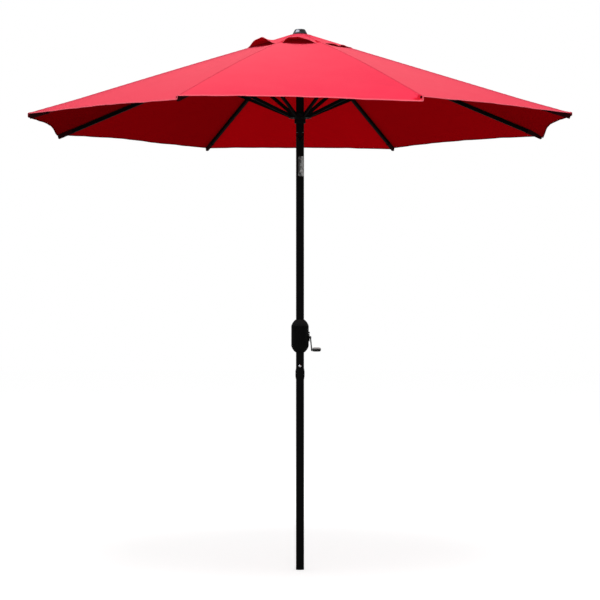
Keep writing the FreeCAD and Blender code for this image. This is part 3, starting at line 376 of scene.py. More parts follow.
class RibGrid:
    """Rays from the pole on both sides of one rib, out to the middles of its two gores.

    `turn` is a ray's angle off the rib, `heading` its angle round the pole and `off_middle` its
    angle off its gore's middle line. `gore` is that gore's number, and `share` is where the ray
    crosses it, from 0 at the rib that the gore starts from to 1 at the next.
    """

    def __init__(self, rib, columns, power):
        self.turn = crowded(columns, power)[None, :] * HALF_PITCH
        self.heading = rib_heading(rib) + self.turn
        self.off_middle = HALF_PITCH - np.abs(self.turn)
        self.gore = np.where(self.turn < 0, (rib - 2) % RIBS + 1, rib)
        half = np.tan(self.off_middle) / math.tan(HALF_PITCH) / 2
        self.share = np.where(self.turn < 0, 0.5 + half, 0.5 - half)

    def across(self, table, usual=(0, 0)):
        """Each ray's value from its own gore's row, whose values stand at even steps across it."""
        values = np.zeros_like(self.share)
        for gore in range(1, RIBS + 1):
            row = flow(table.get(gore, usual), self.share)
            values = np.where(self.gore == gore, row, values)
        return values

    def bulge(self):
        """A parabola across each gore, from 0 at its ribs to 1 at its middle."""
        return 1 - (2 * self.share - 1) ** 2

    def place(self, forward, height):
        """Points at a distance along their gore's middle line and at a height."""
        return round_pole(forward / np.cos(self.off_middle), self.heading, height)

    def off_seam(self, forward):
        """Signed distance of a point from the rib's seam."""
        return forward / np.cos(self.off_middle) * np.sin(self.turn)

    def cloth_map(self, forward):
        """Place in the flat cloth: to the side of the gore's middle line, and along that line."""
        return pairs(forward * np.tan(self.off_middle) * np.sign(self.turn), forward)


def taut_height(forward):
    """Underside of cloth drawn flat between ribs that fall evenly: it drops with the distance along
    the gore's middle line, and faster than the ribs by one over the cosine of half their pitch."""
    return APEX - forward * FALL / APOTHEM


# How far a gore's edge hangs over (or, below 0, under) the taut cloth, in millimetres, at six
# even steps from its first rib to the next.
HEM_RISE = {
    1: (-4, -2.5, -5.5, -4.5, -0.5, 1),
    2: (-5.5, -7.8, -11.5, -12, -4.5, 0),
    3: (1, -4, -8, -1.5, 1.5, 2),
    4: (-1, -9, -11, -10, -11, -14),
    5: (2, 1, -1.6, -4.9, -9, -11),
    6: (5, 0.7, -5, -10, -15.5, -18.5),
    7: (1.3, 0.8, 2.3, 3.5, 3.7, 4.5),
    8: (-7, -5, -6, -8, -13, -14),
}
# How pale a gore's cloth is, from 0 to 1, at its first rib and at the next: bleaching with painted
# light, which leaves the front gore deeper than its neighbours and deeper on its right.
GORE_BLEACH_AND_LIGHT = {6: (0.22, 0.0), 5: (0.38, 0.45), 7: (0.50, 0.38)}
OTHER_GORES_BLEACH_AND_LIGHT = (0.42, 0.42)
# How much paler the cloth is at the top than at its edge, from bleaching and a painted sheen, and how
# much deeper and darker it is under the cap, where it is unbleached and in painted shade; then the
# soft step at the cap's edge.
TOP_BLEACH_AND_SHEEN, UNDER_CAP_SHADE, UNDER_CAP_STEP = 0.45, 1.9, 0.03
# Folded corners, painted in deep shade: by gore, the size of the tuck by its second rib, in metres,
# and how deep its painted shade is.
TUCK_SHADE = {6: (0.020, 1.4)}
# How dark the cloth beside a seam is painted, by rib: painted shade.
SEAM_SHADE = {1: 0.40, 2: 0.20, 3: 0.20, 4: 0.40, 5: 0.70, 8: 0.70}
# How far that painted shade reaches, how much it grows at the edge, and how far in from the edge
# that goes.
SEAM_SHADE_REACH, EDGE_SHADE, EDGE_SHADE_REACH = 0.026, 1.2, 0.05
# Painted shade on the inside: how much darker each gore's inside is painted than the brightest one.
INSIDE_SHADE = {1: 0.26, 3: 0.40, 4: 0.61, 5: 0.45, 6: 0.40, 7: 0.45, 8: 0.45}
# How far a corner stands up off its rib's end, in metres, by rib.
CORNER_LIFT = {1: 0.003, 4: 0.003, 5: 0.0042, 8: 0.0042}
# How far a seam bows up between the vent and the edge, in metres, by rib.
SEAM_BOW = {4: 0.003, 5: 0.003, 6: 0.013, 7: 0.013}
# How far in from the edge a corner stands up, how far in a gore's hang reaches beside a rib, and how
# much farther that is in the gore's middle.
CORNER_REACH, HANG_REACH, HANG_REACH_MIDDLE = 0.26, 0.09, 0.28
# A gore hangs from this far off a seam, with a soft step, and right across it past the rib's end.
BESIDE_RIB, BESIDE_RIB_STEP, PAST_RIB = 0.0074, 0.0050, 0.003
# Ripples: their height, and how far they reach in from the edge and out from the vent. Then each set
# that crosses a gore: its share of that height, and how fast and from where its wave runs. One more
# set starts from the rib's number.
RIPPLE, RIPPLE_FROM_EDGE, RIPPLE_FROM_VENT = 0.0005, 0.16, 0.10
RIPPLE_SETS = ((1.0, 31, 0.0), (0.6, 53, 1.3))
RIPPLE_BY_RIB = (0.4, 79)
# Puckers along a seam: their height, their pitch and how far off the seam they reach.
PUCKER, PUCKER_PITCH, PUCKER_REACH = 0.0003, 0.034, 0.014
# How high a seam and a hem stand, the soft step beside each, and their thickness for that height.
SEAM_HIGH, SEAM_STEP, SEAM_BULK = 0.0010, 0.0025, 0.8
HEM_HIGH, HEM_STEP, HEM_BULK = 0.0009, 0.0020, 1.1
# How far the edge curls down, and how far in that starts.
CURL, CURL_REACH = 0.0022, 0.006
# The cloth's gap over its ribs.
OFF_RIB = 0.0004


def canopy_tone(rib, grid, forward, to_hem, covered):
    """How pale and how shaded the outside of the canopy is over one rib: bleaching, painted light and
    painted shade.

    A gore's own paleness, from bleaching and a painted sheen, grows evenly towards the top. It is lost
    in a folded corner, which is painted in deep shade, and inside the radius `covered`, where the cap
    lies over the cloth, which is unbleached there and in painted shade. The painted shade beside a
    seam falls off exponentially on both sides of it, and grows towards the edge.
    """
    paleness = grid.across(GORE_BLEACH_AND_LIGHT, OTHER_GORES_BLEACH_AND_LIGHT) + TOP_BLEACH_AND_SHEEN * (1 - forward / REACH)
    off_corner = (1 - grid.share) * 2 * REACH * math.sin(HALF_PITCH)
    for gore, (size, deep) in TUCK_SHADE.items():
        near = np.hypot(off_corner - size * 0.7, to_hem - size * 0.2)
        paleness = paleness - deep * smooth(1.4 - near / size) * (grid.gore == gore)
    paleness = paleness - UNDER_CAP_SHADE * smooth((covered - forward / APOTHEM) / UNDER_CAP_STEP)
    shade = SEAM_SHADE.get(rib, 0) * np.exp(-np.abs(grid.off_seam(forward)) / SEAM_SHADE_REACH)
    return pairs(paleness, shade * (1 + EDGE_SHADE * np.exp(-to_hem / EDGE_SHADE_REACH)))


def canopy_cloth(rib, sizes, covered):
    """The canopy over one rib, from the middle of one gore to the middle of the next.

    The surface is the taut plane of each gore, plus a hollow between the ribs, a bow over some
    seams, ripples that run out from the corners, a felled seam and a turned hem. Each gore's outer
    edge curves in as a parabola, and hangs by its own heights, beside the rib and not on it. The
    cap covers the cloth out to the radius `covered`.
    """
    grid = RibGrid(rib, columns=97, power=1.8)
    bulge = grid.bulge()
    inner = sizes.vent_radius * APOTHEM
    outer = REACH * APOTHEM + sizes.overhang * (1 - bulge ** 3) - sizes.hem_curve * bulge
    width = sizes.hem_width / (REACH - sizes.vent_radius)
    down = stepped((0, width, 1 - 8 * width, 1 - 2.4 * width, 1), (6, 79, 23, 23))
    forward = inner + (outer - inner) * down
    off_seam = grid.off_seam(forward)
    from_seam = np.abs(off_seam)
    to_hem = (outer - forward) / APOTHEM
    from_vent = (forward - inner) / APOTHEM
    to_edge = np.minimum(to_hem, from_vent)
    open_share = 2 * np.minimum(grid.share, 1 - grid.share)

    hollow = -sizes.gore_hollow * np.sin(math.pi * down) ** 0.8 * smooth(open_share * 1.2)
    bow = SEAM_BOW.get(rib, 0) * np.sin(math.pi * down ** 0.8) * (1 - open_share) ** 1.4
    reach = HANG_REACH + HANG_REACH_MIDDLE * bulge
    hang = grid.across(HEM_RISE) / 1000 * np.clip(1 - to_hem / reach, 0, 1) ** 1.5
    past_rib = smooth((forward / APOTHEM - REACH - PAST_RIB) / PAST_RIB)
    hang = hang * np.maximum(smooth((from_seam - BESIDE_RIB) / BESIDE_RIB_STEP), past_rib)
    fade = np.exp(-to_hem / RIPPLE_FROM_EDGE) + 0.5 * np.exp(-from_vent / RIPPLE_FROM_VENT)
    sets = (*RIPPLE_SETS, (*RIPPLE_BY_RIB, rib))
    fan = sum(part * np.sin(grid.share * speed + start) for part, speed, start in sets)
    ripples = RIPPLE * fan * fade * smooth(open_share * 4)
    wave = np.sin(from_vent * 2 * math.pi / PUCKER_PITCH + rib)
    pucker = PUCKER * wave * np.exp(-(off_seam / PUCKER_REACH) ** 2)
    seam = SEAM_HIGH * within(from_seam, sizes.seam_width / 2, SEAM_STEP)
    hem = HEM_HIGH * within(to_edge, sizes.hem_width, HEM_STEP)
    curl = -CURL * smooth(1 - to_hem / CURL_REACH)
    corner = CORNER_LIFT.get(rib, 0) * smooth(1 - to_hem / CORNER_REACH) * (1 - open_share) ** 3
    rise = hollow + bow + hang + ripples + pucker + seam + hem + curl + corner

    inside_shade = np.array([INSIDE_SHADE.get(gore, 0) for gore in range(RIBS + 1)])
    return sheet_shell(
        f"canopy_cloth_{rib}",
        grid.place(forward, taut_height(forward) + sizes.cloth + OFF_RIB + rise),
        sizes.cloth + SEAM_BULK * seam + HEM_BULK * hem,
        grid.cloth_map(forward),
        pairs(off_seam, to_edge),
        canopy_tone(rib, grid, forward, to_hem, covered),
        pairs(0, inside_shade[grid.gore]),
    )


# A rib's pocket: its cloth, how far past the rib's tip it closes, its slack over the rib, under it
# and more at its mouth, the height of its waves, and the share of its length that the mouth takes.
POCKET_CLOTH, POCKET_END = 0.0007, 0.0016
SLACK_OVER, SLACK_UNDER, SLACK_MOUTH, SLACK_WAVE = 0.0010, 0.0012, 0.0010, 0.0003
MOUTH = 0.2
# The rounding of the rings' corners, and the radius that the weave is laid round.
POCKET_POWER, POCKET_ROUND = 2 / 7, 0.009
# Points round each ring, rings along the sleeve and rings that close its end.
RING_POINTS, SLEEVE_RINGS, END_RINGS = 57, 39, 14


def rib_pocket(rib, sizes):
    """The sleeve sewn under the cloth that holds a rib's end: rings round the rib's section, a
    rectangle rounded by a superellipse, from the pocket's mouth to the tip, where they close in."""
    heading = rib_heading(rib)
    out, side = outward(heading), np.array([-math.sin(heading), math.cos(heading), 0.0])
    slope = math.atan(FALL)
    along = out * math.cos(slope) - np.array([0, 0, math.sin(slope)])
    up = out * math.sin(slope) + np.array([0, 0, math.cos(slope)])
    middle = np.array(JOINTS[fold_joint(rib)]["pos_m"])
    off = vertices(f"rib_{rib}") - middle
    half_deep, half_wide = np.abs(off @ up).max(), np.abs(off @ side).max()
    tip = ((vertices(f"rib_fittings_{rib}") - middle) @ along).max()

    around = np.linspace(0, 2 * math.pi, RING_POINTS)[None, :]
    down = np.linspace(0, 1, SLEEVE_RINGS, endpoint=False)
    close = np.linspace(0, 1, END_RINGS) * math.pi / 2
    past_tip = np.concatenate([-sizes.pocket_length * (1 - down), POCKET_END * np.sin(close)])
    place = tip + past_tip[:, None]
    shut = np.concatenate([np.ones(len(down)), np.cos(close) ** 0.5 * 0.98 + 0.02])[:, None]
    mouth = smooth((MOUTH - np.concatenate([down, np.ones(len(close))])) / MOUTH)[:, None]
    wave = SLACK_WAVE * np.sin(place * 210 + rib) * np.sin(around * 3)
    slack = SLACK_UNDER + SLACK_MOUTH * mouth + wave
    cos, sin = np.cos(around), np.sin(around)
    wide = np.sign(cos) * np.abs(cos) ** POCKET_POWER * (half_wide + slack) * shut
    deep = np.sign(sin) * np.abs(sin) ** POCKET_POWER * shut
    deep = deep * np.where(deep > 0, half_deep + SLACK_OVER, half_deep + slack)
    top = middle + place[..., None] * along + wide[..., None] * side + deep[..., None] * up
    return sheet_shell(
        f"rib_pocket_{rib}", top, POCKET_CLOTH, pairs(around * POCKET_ROUND, place),
        pairs(place - tip, deep), closed=True)


# How far the cap's edge lifts over the canopy, in millimetres, at even steps from each gore's first
# rib to the next.
CAP_LIFT = {
    1: (0, 6, 13, 17, 15, 8, 0),
    2: (0, 9, 19, 24, 18, 7, 0),
    3: (0, 8, 15, 14, 9, 4, 0),
    4: (0, 5, 10, 12, 11, 7, 0),
    5: (0, 11, 24, 32, 37, 40, 40, 36, 27, 16, 8, 3, 0),
    6: (0, 3, 21, 31, 33, 33, 31, 28, 22, 14, 6, 2, 0),
    7: (0, 5, 9, 4, 8, 4, 0),
    8: (0, 4, 9, 11, 9, 5, 0),
}
# The cap is round out to a radius, and past a step from there it is straight between the ribs,
# where its edge bulges out a little.
CAP_ROUND, CAP_ROUND_STEP, CAP_BULGE = 0.05, 0.12, 0.004
# How slack the cap is, how high its seams and hem stand, and a seam's half width.
CAP_SLACK, CAP_SEAM_HIGH, CAP_HEM_HIGH, CAP_SEAM = 0.0016, 0.0008, 0.0007, 0.004
# The soft step beside a seam or a hem, and a seam's thickness for its height.
CAP_STEP, CAP_SEAM_BULK = 0.002, 0.5
# The pleat: how much of half a gore it adds at the crown, its length, how deep it is tucked and the
# soft step down to that, as a share of half a gore.
PLEAT_WIDE, PLEAT_LONG, PLEAT_DEEP, PLEAT_STEP = 0.85, 0.064, 0.0018, 0.12
# How pale the cap is, the radius by which it is so, its painted shade at the crown round the finial
# and that one's reach.
CAP_PALENESS, CAP_PALENESS_FROM, CROWN_SHADE, CROWN_SHADE_REACH = 0.55, 0.2, 0.35, 0.06
# The cap's top under the finial's foot, with room for the crown patch.
CROWN_ROOM = 0.0013


def crown_height(radius, sizes):
    """Top of the cap round the crown: level in the middle, then a hyperbola that bends down to the
    cap's own slope."""
    past = np.maximum(radius - sizes.crown_flat, 0)
    bend = np.sqrt(past ** 2 + sizes.crown_round ** 2) - sizes.crown_round
    far = sizes.radius - sizes.crown_flat
    far_bend = math.hypot(far, sizes.crown_round) - sizes.crown_round
    start = HUB_TOP - CROWN_ROOM
    end = taut_height(sizes.radius * APOTHEM) + sizes.clearance
    return start - bend * (start - end) / far_bend


def vent_cap(rib, sizes, cloth):
    """The cap over one rib, from the middle of one gore to the middle of the next.

    It follows the crown's curve, on a round near the pole and on straight lines between the ribs at
    its edge. Between the ribs its edge stands open by the gore's own lift, which grows outwards.
    Near the crown it goes on under its neighbours as a pleat, which fills the gap when it folds.
    """
    grid = RibGrid(rib, columns=81, power=1.35)
    inner = sizes.inner_radius * np.cos(grid.off_middle)
    outer = sizes.radius * APOTHEM + CAP_BULGE * grid.bulge()
    down = stepped((0, 0.93, 1), (55, 11))
    forward = inner + (outer - inner) * down
    radius = forward / np.cos(grid.off_middle)
    off_seam = grid.off_seam(forward)
    to_hem = (outer - forward) / APOTHEM

    straight = smooth((radius - CAP_ROUND) / CAP_ROUND_STEP)
    height = crown_height(radius * (1 - straight) + forward / APOTHEM * straight, sizes)
    lift = grid.across(CAP_LIFT) / 1000 * down ** 3.6
    slack = CAP_SLACK * np.sin(grid.share * 21 + 0.7 * rib) * smooth(down * 1.4 - 0.3)
    slack = slack * np.sin(math.pi * grid.share) ** 2
    seam = CAP_SEAM_HIGH * within(np.abs(off_seam), CAP_SEAM, CAP_STEP)
    hem = CAP_HEM_HIGH * within(to_hem, sizes.hem_width, CAP_STEP)
    pleat = PLEAT_WIDE * np.clip(1 - (radius - sizes.inner_radius) / PLEAT_LONG, 0, 1)
    turn = grid.turn * (1 + pleat)
    tucked = PLEAT_DEEP * smooth((np.abs(turn) / HALF_PITCH - 1) / PLEAT_STEP)
    height = height + lift + slack + seam + hem - tucked

    # Paler away from the crown, and painted shade round the crown under the finial.
    paleness = CAP_PALENESS * smooth(radius / CAP_PALENESS_FROM)
    shade = CROWN_SHADE * np.exp(-radius / CROWN_SHADE_REACH)
    return sheet_shell(
        f"vent_cap_{rib}", round_pole(radius, rib_heading(rib) + turn, height),
        cloth + CAP_SEAM_BULK * seam + hem, grid.cloth_map(forward), pairs(off_seam, to_hem),
        pairs(paleness, shade))


# The crown patch: its hole, its gaps over the cap and under the finial, its thickness as a share of
# one cloth, its painted shade under the finial, and a distance from a seam for cloth that has none.
DISC_HOLE, OVER_CAP, UNDER_FINIAL = 0.008, 0.0002, 0.0001
DISC_CLOTH, DISC_SHADE, NO_SEAM = 0.9, 0.4, 0.05
# Its waves: their height, the radius where they start and the step to all of it.
DISC_WAVE, DISC_WAVE_FROM, DISC_WAVE_STEP = 0.0004, 0.04, 0.02
# Points round each of its rings, and how many rings it has.
DISC_POINTS, DISC_RINGS = 97, 34


def crown_disc(sizes, cloth):
    """The round patch between the cap and the finial: rings that follow the crown's curve, a cloth's
    thickness above it, with a wave over each rib."""
    around = np.linspace(0, 2 * math.pi, DISC_POINTS)[None, :]
    radius = np.linspace(DISC_HOLE, sizes.patch_radius, DISC_RINGS)[:, None]
    waves = DISC_WAVE * np.sin(around * RIBS)
    waves = waves * smooth((radius - DISC_WAVE_FROM) / DISC_WAVE_STEP)
    height = crown_height(radius, sizes) + cloth + OVER_CAP + waves
    top = round_pole(radius, around, np.minimum(height, HUB_TOP - UNDER_FINIAL))
    return sheet_shell(
        "crown_disc", top, cloth * DISC_CLOTH, pairs(radius * around, radius),
        pairs(NO_SEAM, sizes.patch_radius - radius), (0, DISC_SHADE), closed=True)


# ---------------------------------------------------------------- shader groups


class Graph:
    """Short calls for making nodes and links in a node tree."""

    def __init__(self, tree):
        self.tree = tree

    def node(self, kind, **settings):
        made = self.tree.nodes.new(f"ShaderNode{kind}")
        for name, value in settings.items():
            setattr(made, name, value)
        return made

    def link(self, source, target):
        self.tree.links.new(source, target)

    def feed(self, socket, value):
        """Link a socket, or set it where the value is plain."""
        if isinstance(value, bpy.types.NodeSocket):
            self.link(value, socket)
        elif value is not None:
            socket.default_value = value

    def math(self, operation, a, b=None, c=None, clamp=False):
        made = self.node("Math", operation=operation, use_clamp=clamp)
        for socket, value in zip(made.inputs, (a, b, c)):
            self.feed(socket, value)
        return made.outputs[0]

    def mix(self, share, a, b):
        """Two colours mixed; a plain one is three numbers."""
        made = self.node("Mix", data_type="RGBA")
        self.feed(made.inputs["Factor"], share)
        for socket, colour in ((made.inputs[6], a), (made.inputs[7], b)):
            plain = not isinstance(colour, bpy.types.NodeSocket)
            self.feed(socket, (*colour, 1.0) if plain else colour)
        return made.outputs[2]

    def noise(self, vector, scale, detail, roughness=0.5):
        made = self.node("TexNoise")
        for label, value in (
            ("Vector", vector), ("Scale", scale), ("Detail", detail), ("Roughness", roughness),
        ):
            self.feed(made.inputs[label], value)
        return made.outputs["Fac"]

    def spread(self, value, low, high, new_low=0.0, new_high=1.0):
        """Map a range of a value to another, and hold it there."""
        made = self.node("MapRange")
        for label, number in (
            ("Value", value), ("From Min", low), ("From Max", high),
            ("To Min", new_low), ("To Max", new_high),
        ):
            self.feed(made.inputs[label], number)
        return made.outputs["Result"]

    def stretched(self, vector, scale):
        """A vector with each of its three numbers multiplied by its own."""
        made = self.node("Mapping")
        made.inputs["Scale"].default_value = scale
        self.link(vector, made.inputs["Vector"])
        return made.outputs["Vector"]

    def parts(self, vector):
        """A vector's three numbers, by the names X, Y and Z."""
        made = self.node("SeparateXYZ")
        self.link(vector, made.inputs[0])
        return made.outputs

    def sewn_map(self, name):
        """One of a piece's own maps."""
        return self.node("UVMap", uv_map=name).outputs["UV"]

    def in_object(self):
        """A point's place on the object."""
        return self.node("TexCoord").outputs["Object"]

    def group(self, group, **values):
        """A shader group's outputs, with its inputs linked or set."""
        made = self.node("Group", node_tree=group)
        for label, value in values.items():
            self.feed(made.inputs[label], value)
        return made.outputs

    def seen(self):
        """1 for what the camera sees by itself or through glass, and 0 for all other light."""
        path = self.node("LightPath").outputs
        return self.math("MAXIMUM", path["Is Camera Ray"], path["Is Transmission Ray"])


def new_group(name, inputs, outputs):
    """An empty shader group: its tree, its graph, and the sockets inside it that hold its inputs and
    that take its outputs. An input is a number with its default, or a vector where that is None."""
    group = bpy.data.node_groups.new(name, "ShaderNodeTree")
    for label, default in inputs.items():
        kind = "NodeSocketVector" if default is None else "NodeSocketFloat"
        socket = group.interface.new_socket(label, in_out="INPUT", socket_type=kind)
        if default is not None:
            socket.default_value = default
    for label in outputs:
        group.interface.new_socket(label, in_out="OUTPUT", socket_type="NodeSocketFloat")
    held = group.nodes.new("NodeGroupInput").outputs
    taken = group.nodes.new("NodeGroupOutput").inputs
    return group, Graph(group), held, taken


@cache
def weave_group():
    """Plain weave: the product of two rows of waves at right angles, so that every other crossing
    stands high."""
    group, g, held, taken = new_group("Plain weave", {"Place": None, "Pitch": 0.0012}, ["Height"])
    place = g.parts(held["Place"])
    turns = g.math("DIVIDE", 2 * math.pi, held["Pitch"])
    warp = g.math("SINE", g.math("MULTIPLY", place["X"], turns))
    weft = g.math("SINE", g.math("MULTIPLY", place["Y"], turns))
    g.link(g.math("MULTIPLY_ADD", g.math("MULTIPLY", warp, weft), 0.5, 0.5), taken["Height"])
    return group


@cache
def stitch_group():
    """A row of lockstitches: short dashes on a line at a set distance from a seam or an edge, and
    the pull that they give the cloth for four threads' width on both sides."""
    group, g, held, taken = new_group(
        "Stitch row",
        {"Distance": 0.0, "Along": 0.0, "Line": 0.005, "Stitch": 0.004, "Thread": 0.0006},
        ["Thread", "Pull"])
    off_line = g.math("SUBTRACT", g.math("ABSOLUTE", held["Distance"]), held["Line"])
    away = g.math("ABSOLUTE", off_line)
    near = g.math("SUBTRACT", 1.0, g.math("DIVIDE", away, held["Thread"]), clamp=True)
    beat = g.math("FRACT", g.math("DIVIDE", held["Along"], held["Stitch"]))
    dash = g.math("LESS_THAN", g.math("ABSOLUTE", g.math("SUBTRACT", beat, 0.5)), 0.36)
    g.link(g.math("MULTIPLY", near, dash), taken["Thread"])
    wide = g.math("MULTIPLY", held["Thread"], 4.0)
    pull = g.math("SUBTRACT", 1.0, g.math("DIVIDE", away, wide), clamp=True)
    g.link(pull, taken["Pull"])
    return group


@cache
def wear_group():
    """Handling and dust: a slow and a fine noise, mixed into a mask with soft patches."""
    group, g, held, taken = new_group(
        "Dust and handling", {"Place": None, "Scale": 9.0, "Amount": 0.5}, ["Mask"])
    slow = g.noise(held["Place"], held["Scale"], detail=5)
    fine = g.noise(held["Place"], scale=420, detail=2)
    both = g.math("ADD", g.math("MULTIPLY", slow, 0.8), g.math("MULTIPLY", fine, 0.2))
    g.link(g.math("MULTIPLY", g.spread(both, 0.42, 0.66), held["Amount"]), taken["Mask"])
    return group


# ---------------------------------------------------------------- materials


def new_material(name):
    """A material with one Principled shader: itself, its graph and the shader's inputs."""
    material = bpy.data.materials.new(name)
    material.use_nodes = True
    return material, Graph(material.node_tree), material.node_tree.nodes["Principled BSDF"].inputs


def times(colour, share):
    """A colour times a number, or times one number for each of its three."""
    return [float(part) for part in np.array(colour) * share]


def bump(g, inputs, height, distance, strength, before=None):
    """Feed a height into a shader's normal, on top of an earlier one."""
    made = g.node("Bump")
    made.inputs["Strength"].default_value = strength
    made.inputs["Distance"].default_value = distance
    g.feed(made.inputs["Height"], height)
    g.feed(made.inputs["Normal"], before)
    g.link(made.outputs["Normal"], inputs["Normal"])
    return made.outputs["Normal"]


# The pitch of the cloth's weave and of the webbing's.
CLOTH_PITCH, WEBBING_PITCH = 0.0014, 0.0022
# Rows of stitches beside a seam and along a hem, and the width of their thread.
SEAM_LINE, HEM_LINE, THREAD = 0.0045, 0.0125, 0.0007
# Slubs run from side to side of a gore, so their pattern is squeezed along its middle line.
SLUB_STRETCH = (1.0, 9.0, 1.0)
# Painted shade: shares of red, green and blue that are left in a folded corner and on the cloth
# under the cap.
FOLD_AND_CAP_SHADE = (0.75, 0.10, 0.22)
# A seam is darker within the first distance, and as the rest of the cloth past the second; then the
# same for the band along the edge, which is painted toward the thread colour: the thread's own colour
# with a painted highlight outside, painted shade inside.
SEAM_DARK, SEAM_PLAIN = 0.0025, 0.0070
EDGE_LIGHT, EDGE_PLAIN = 0.0035, 0.0060


def cloth_material(name, colour, thread, fade_and_sheen_colour, painted_edge, gloss, in_shade):
    """Woven polyester: weave and slubs, faint fading, stitch rows by the seam and the hem, painted shade
    in their pull, and a band along the edge painted toward the thread colour. The Tone map paints light
    and shade: its X pales the cloth, by bleaching and a painted sheen, and below 0 deepens it to
    painted shade; its Y is painted shade. `in_shade` is the share of each colour that is left in full
    painted shade."""
    material, g, shader = new_material(name)
    place = g.sewn_map("Cloth")
    cloth, edges, tone = g.parts(place), g.parts(g.sewn_map("Edges")), g.parts(g.sewn_map("Tone"))
    off_seam, to_hem, pale_tone = edges["X"], edges["Y"], tone["X"]
    weave = g.group(weave_group(), Place=place, Pitch=CLOTH_PITCH)
    slubs = g.noise(g.stretched(place, SLUB_STRETCH), scale=260, detail=2)
    worn = g.spread(g.noise(place, scale=5.5, detail=4, roughness=0.6), 0.35, 0.70)
    by_seam = g.group(
        stitch_group(), Distance=off_seam, Along=cloth["Y"], Line=SEAM_LINE, Thread=THREAD)
    by_hem = g.group(
        stitch_group(), Distance=to_hem, Along=cloth["X"], Line=HEM_LINE, Thread=THREAD)
    stitches = g.math("MAXIMUM", by_seam["Thread"], by_hem["Thread"])
    pull = g.math("MAXIMUM", by_seam["Pull"], by_hem["Pull"])

    # Paleness from random wear, bleaching and painted sheen; painted shade where the Tone map is below 0, and from
    # its Y.
    fade_and_sheen_share = g.math("MULTIPLY_ADD", worn, 0.07, pale_tone, clamp=True)
    deep_shade = g.math("MULTIPLY", pale_tone, -1.0, clamp=True)
    shaded = g.math("MULTIPLY", tone["Y"], 1.0, clamp=True)
    felled = g.spread(g.math("ABSOLUTE", off_seam), SEAM_DARK, SEAM_PLAIN, 0.30, 0.0)
    # The band along the edge: a painted highlight on the outside, painted shade on the inside and in the cap.
    edge = g.spread(to_hem, EDGE_LIGHT, EDGE_PLAIN, painted_edge, 0.0)
    base = g.mix(fade_and_sheen_share, colour, fade_and_sheen_colour)
    for share, over in (
        (deep_shade, times(colour, FOLD_AND_CAP_SHADE)),
        (g.math("MULTIPLY", slubs, 0.05), fade_and_sheen_colour),
        (shaded, times(colour, in_shade)),
        # Painted shade in the groove that the stitches pull.
        (g.math("MULTIPLY", pull, 0.30), times(colour, 0.55)),
        (felled, times(colour, 0.50)),
        (g.math("MAXIMUM", edge, g.math("MULTIPLY", stitches, 0.7)), thread),
    ):
        base = g.mix(share, base, over)
    g.link(base, shader["Base Color"])
    g.link(g.spread(slubs, 0.3, 0.7, 0.78, 0.90), shader["Roughness"])
    shader["Specular IOR Level"].default_value = gloss
    threads = g.math("ADD", weave["Height"], g.math("MULTIPLY", slubs, 0.6))
    woven = bump(g, shader, threads, distance=0.00012, strength=0.35)
    sewn = g.math("SUBTRACT", g.math("MULTIPLY", stitches, 0.8), pull)
    bump(g, shader, sewn, distance=0.0009, strength=0.6, before=woven)
    return material


# What thin dust adds to a colour, and the colour of the painted sky reflection on faces that look up.
DUST_FILM, UPWARD_SHEEN_COLOUR = 0.003, (0.80, 0.80, 0.80)
# A moulded or coated surface's orange peel: how deep it is, and how much of it shows.
PEEL_DEEP, PEEL_SHOWN = 0.00015, 0.25


def coated_material(name, colour, roughness, grain, dust, gloss=0.03, upward_sheen=0.0):
    """Powder coat or moulded plastic: a fine orange peel, dust that lightens and dulls it, and a
    share of a paler painted sky reflection on the faces that look up."""
    material, g, shader = new_material(name)
    place = g.in_object()
    wear = g.group(wear_group(), Place=place, Amount=dust)["Mask"]
    base = g.mix(wear, colour, [part + DUST_FILM for part in colour])
    if upward_sheen:
        # A painted sky reflection on the faces that look up: strong on the knob's top, faint on the housing's
        # shoulders.
        way = g.parts(g.node("NewGeometry").outputs["Normal"])
        base = g.mix(g.spread(way["Z"], 0.15, 0.85, 0.0, upward_sheen), base, UPWARD_SHEEN_COLOUR)
    g.link(base, shader["Base Color"])
    g.link(g.spread(wear, 0, 1, roughness, min(roughness + 0.18, 1)), shader["Roughness"])
    shader["Specular IOR Level"].default_value = gloss
    bump(g, shader, g.noise(place, grain, detail=2), PEEL_DEEP, PEEL_SHOWN)
    return material


def finial_material(colour):
    """Glossy moulding that grime has dulled at its rim and round its foot."""
    material, g, shader = new_material("Finial")
    low, high = (corner.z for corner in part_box("finial"))
    clean = low + 0.60 * (high - low)
    place = g.in_object()
    wear = g.group(wear_group(), Place=place, Amount=0.1)["Mask"]
    off_clean = g.math("ABSOLUTE", g.math("SUBTRACT", g.parts(place)["Z"], clean))
    grime = g.spread(off_clean, 0.16 * (high - low), 0.36 * (high - low))
    g.link(g.mix(wear, colour, [part + DUST_FILM for part in colour]), shader["Base Color"])
    g.link(g.spread(g.math("ADD", grime, wear), 0, 1, 0.14, 0.85), shader["Roughness"])
    bump(g, shader, g.noise(place, scale=500, detail=2), PEEL_DEEP, PEEL_SHOWN)
    return material


def metal_material(name, colour, roughness, brush=(1, 1, 1)):
    """Bare or plated metal, with fine marks. A number under 1 in `brush` draws them out along its
    axis."""
    material, g, shader = new_material(name)
    place = g.in_object()
    marks = g.noise(g.stretched(place, brush), scale=900, detail=3)
    wear = g.group(wear_group(), Place=place)["Mask"]
    g.link(g.mix(wear, colour, times(colour, 0.62)), shader["Base Color"])
    g.link(g.spread(marks, 0.3, 0.7, roughness * 0.8, roughness * 1.25), shader["Roughness"])
    shader["Metallic"].default_value = 1.0
    bump(g, shader, marks, distance=0.00005, strength=0.3)
    return material


# The foil in its creases and on its flats, and what its left and right sides add to that share.
FOIL_DARK, FOIL_PALE = (0.022, 0.024, 0.024), (0.30, 0.315, 0.31)
FOIL_LEFT, FOIL_RIGHT = -0.16, 0.12


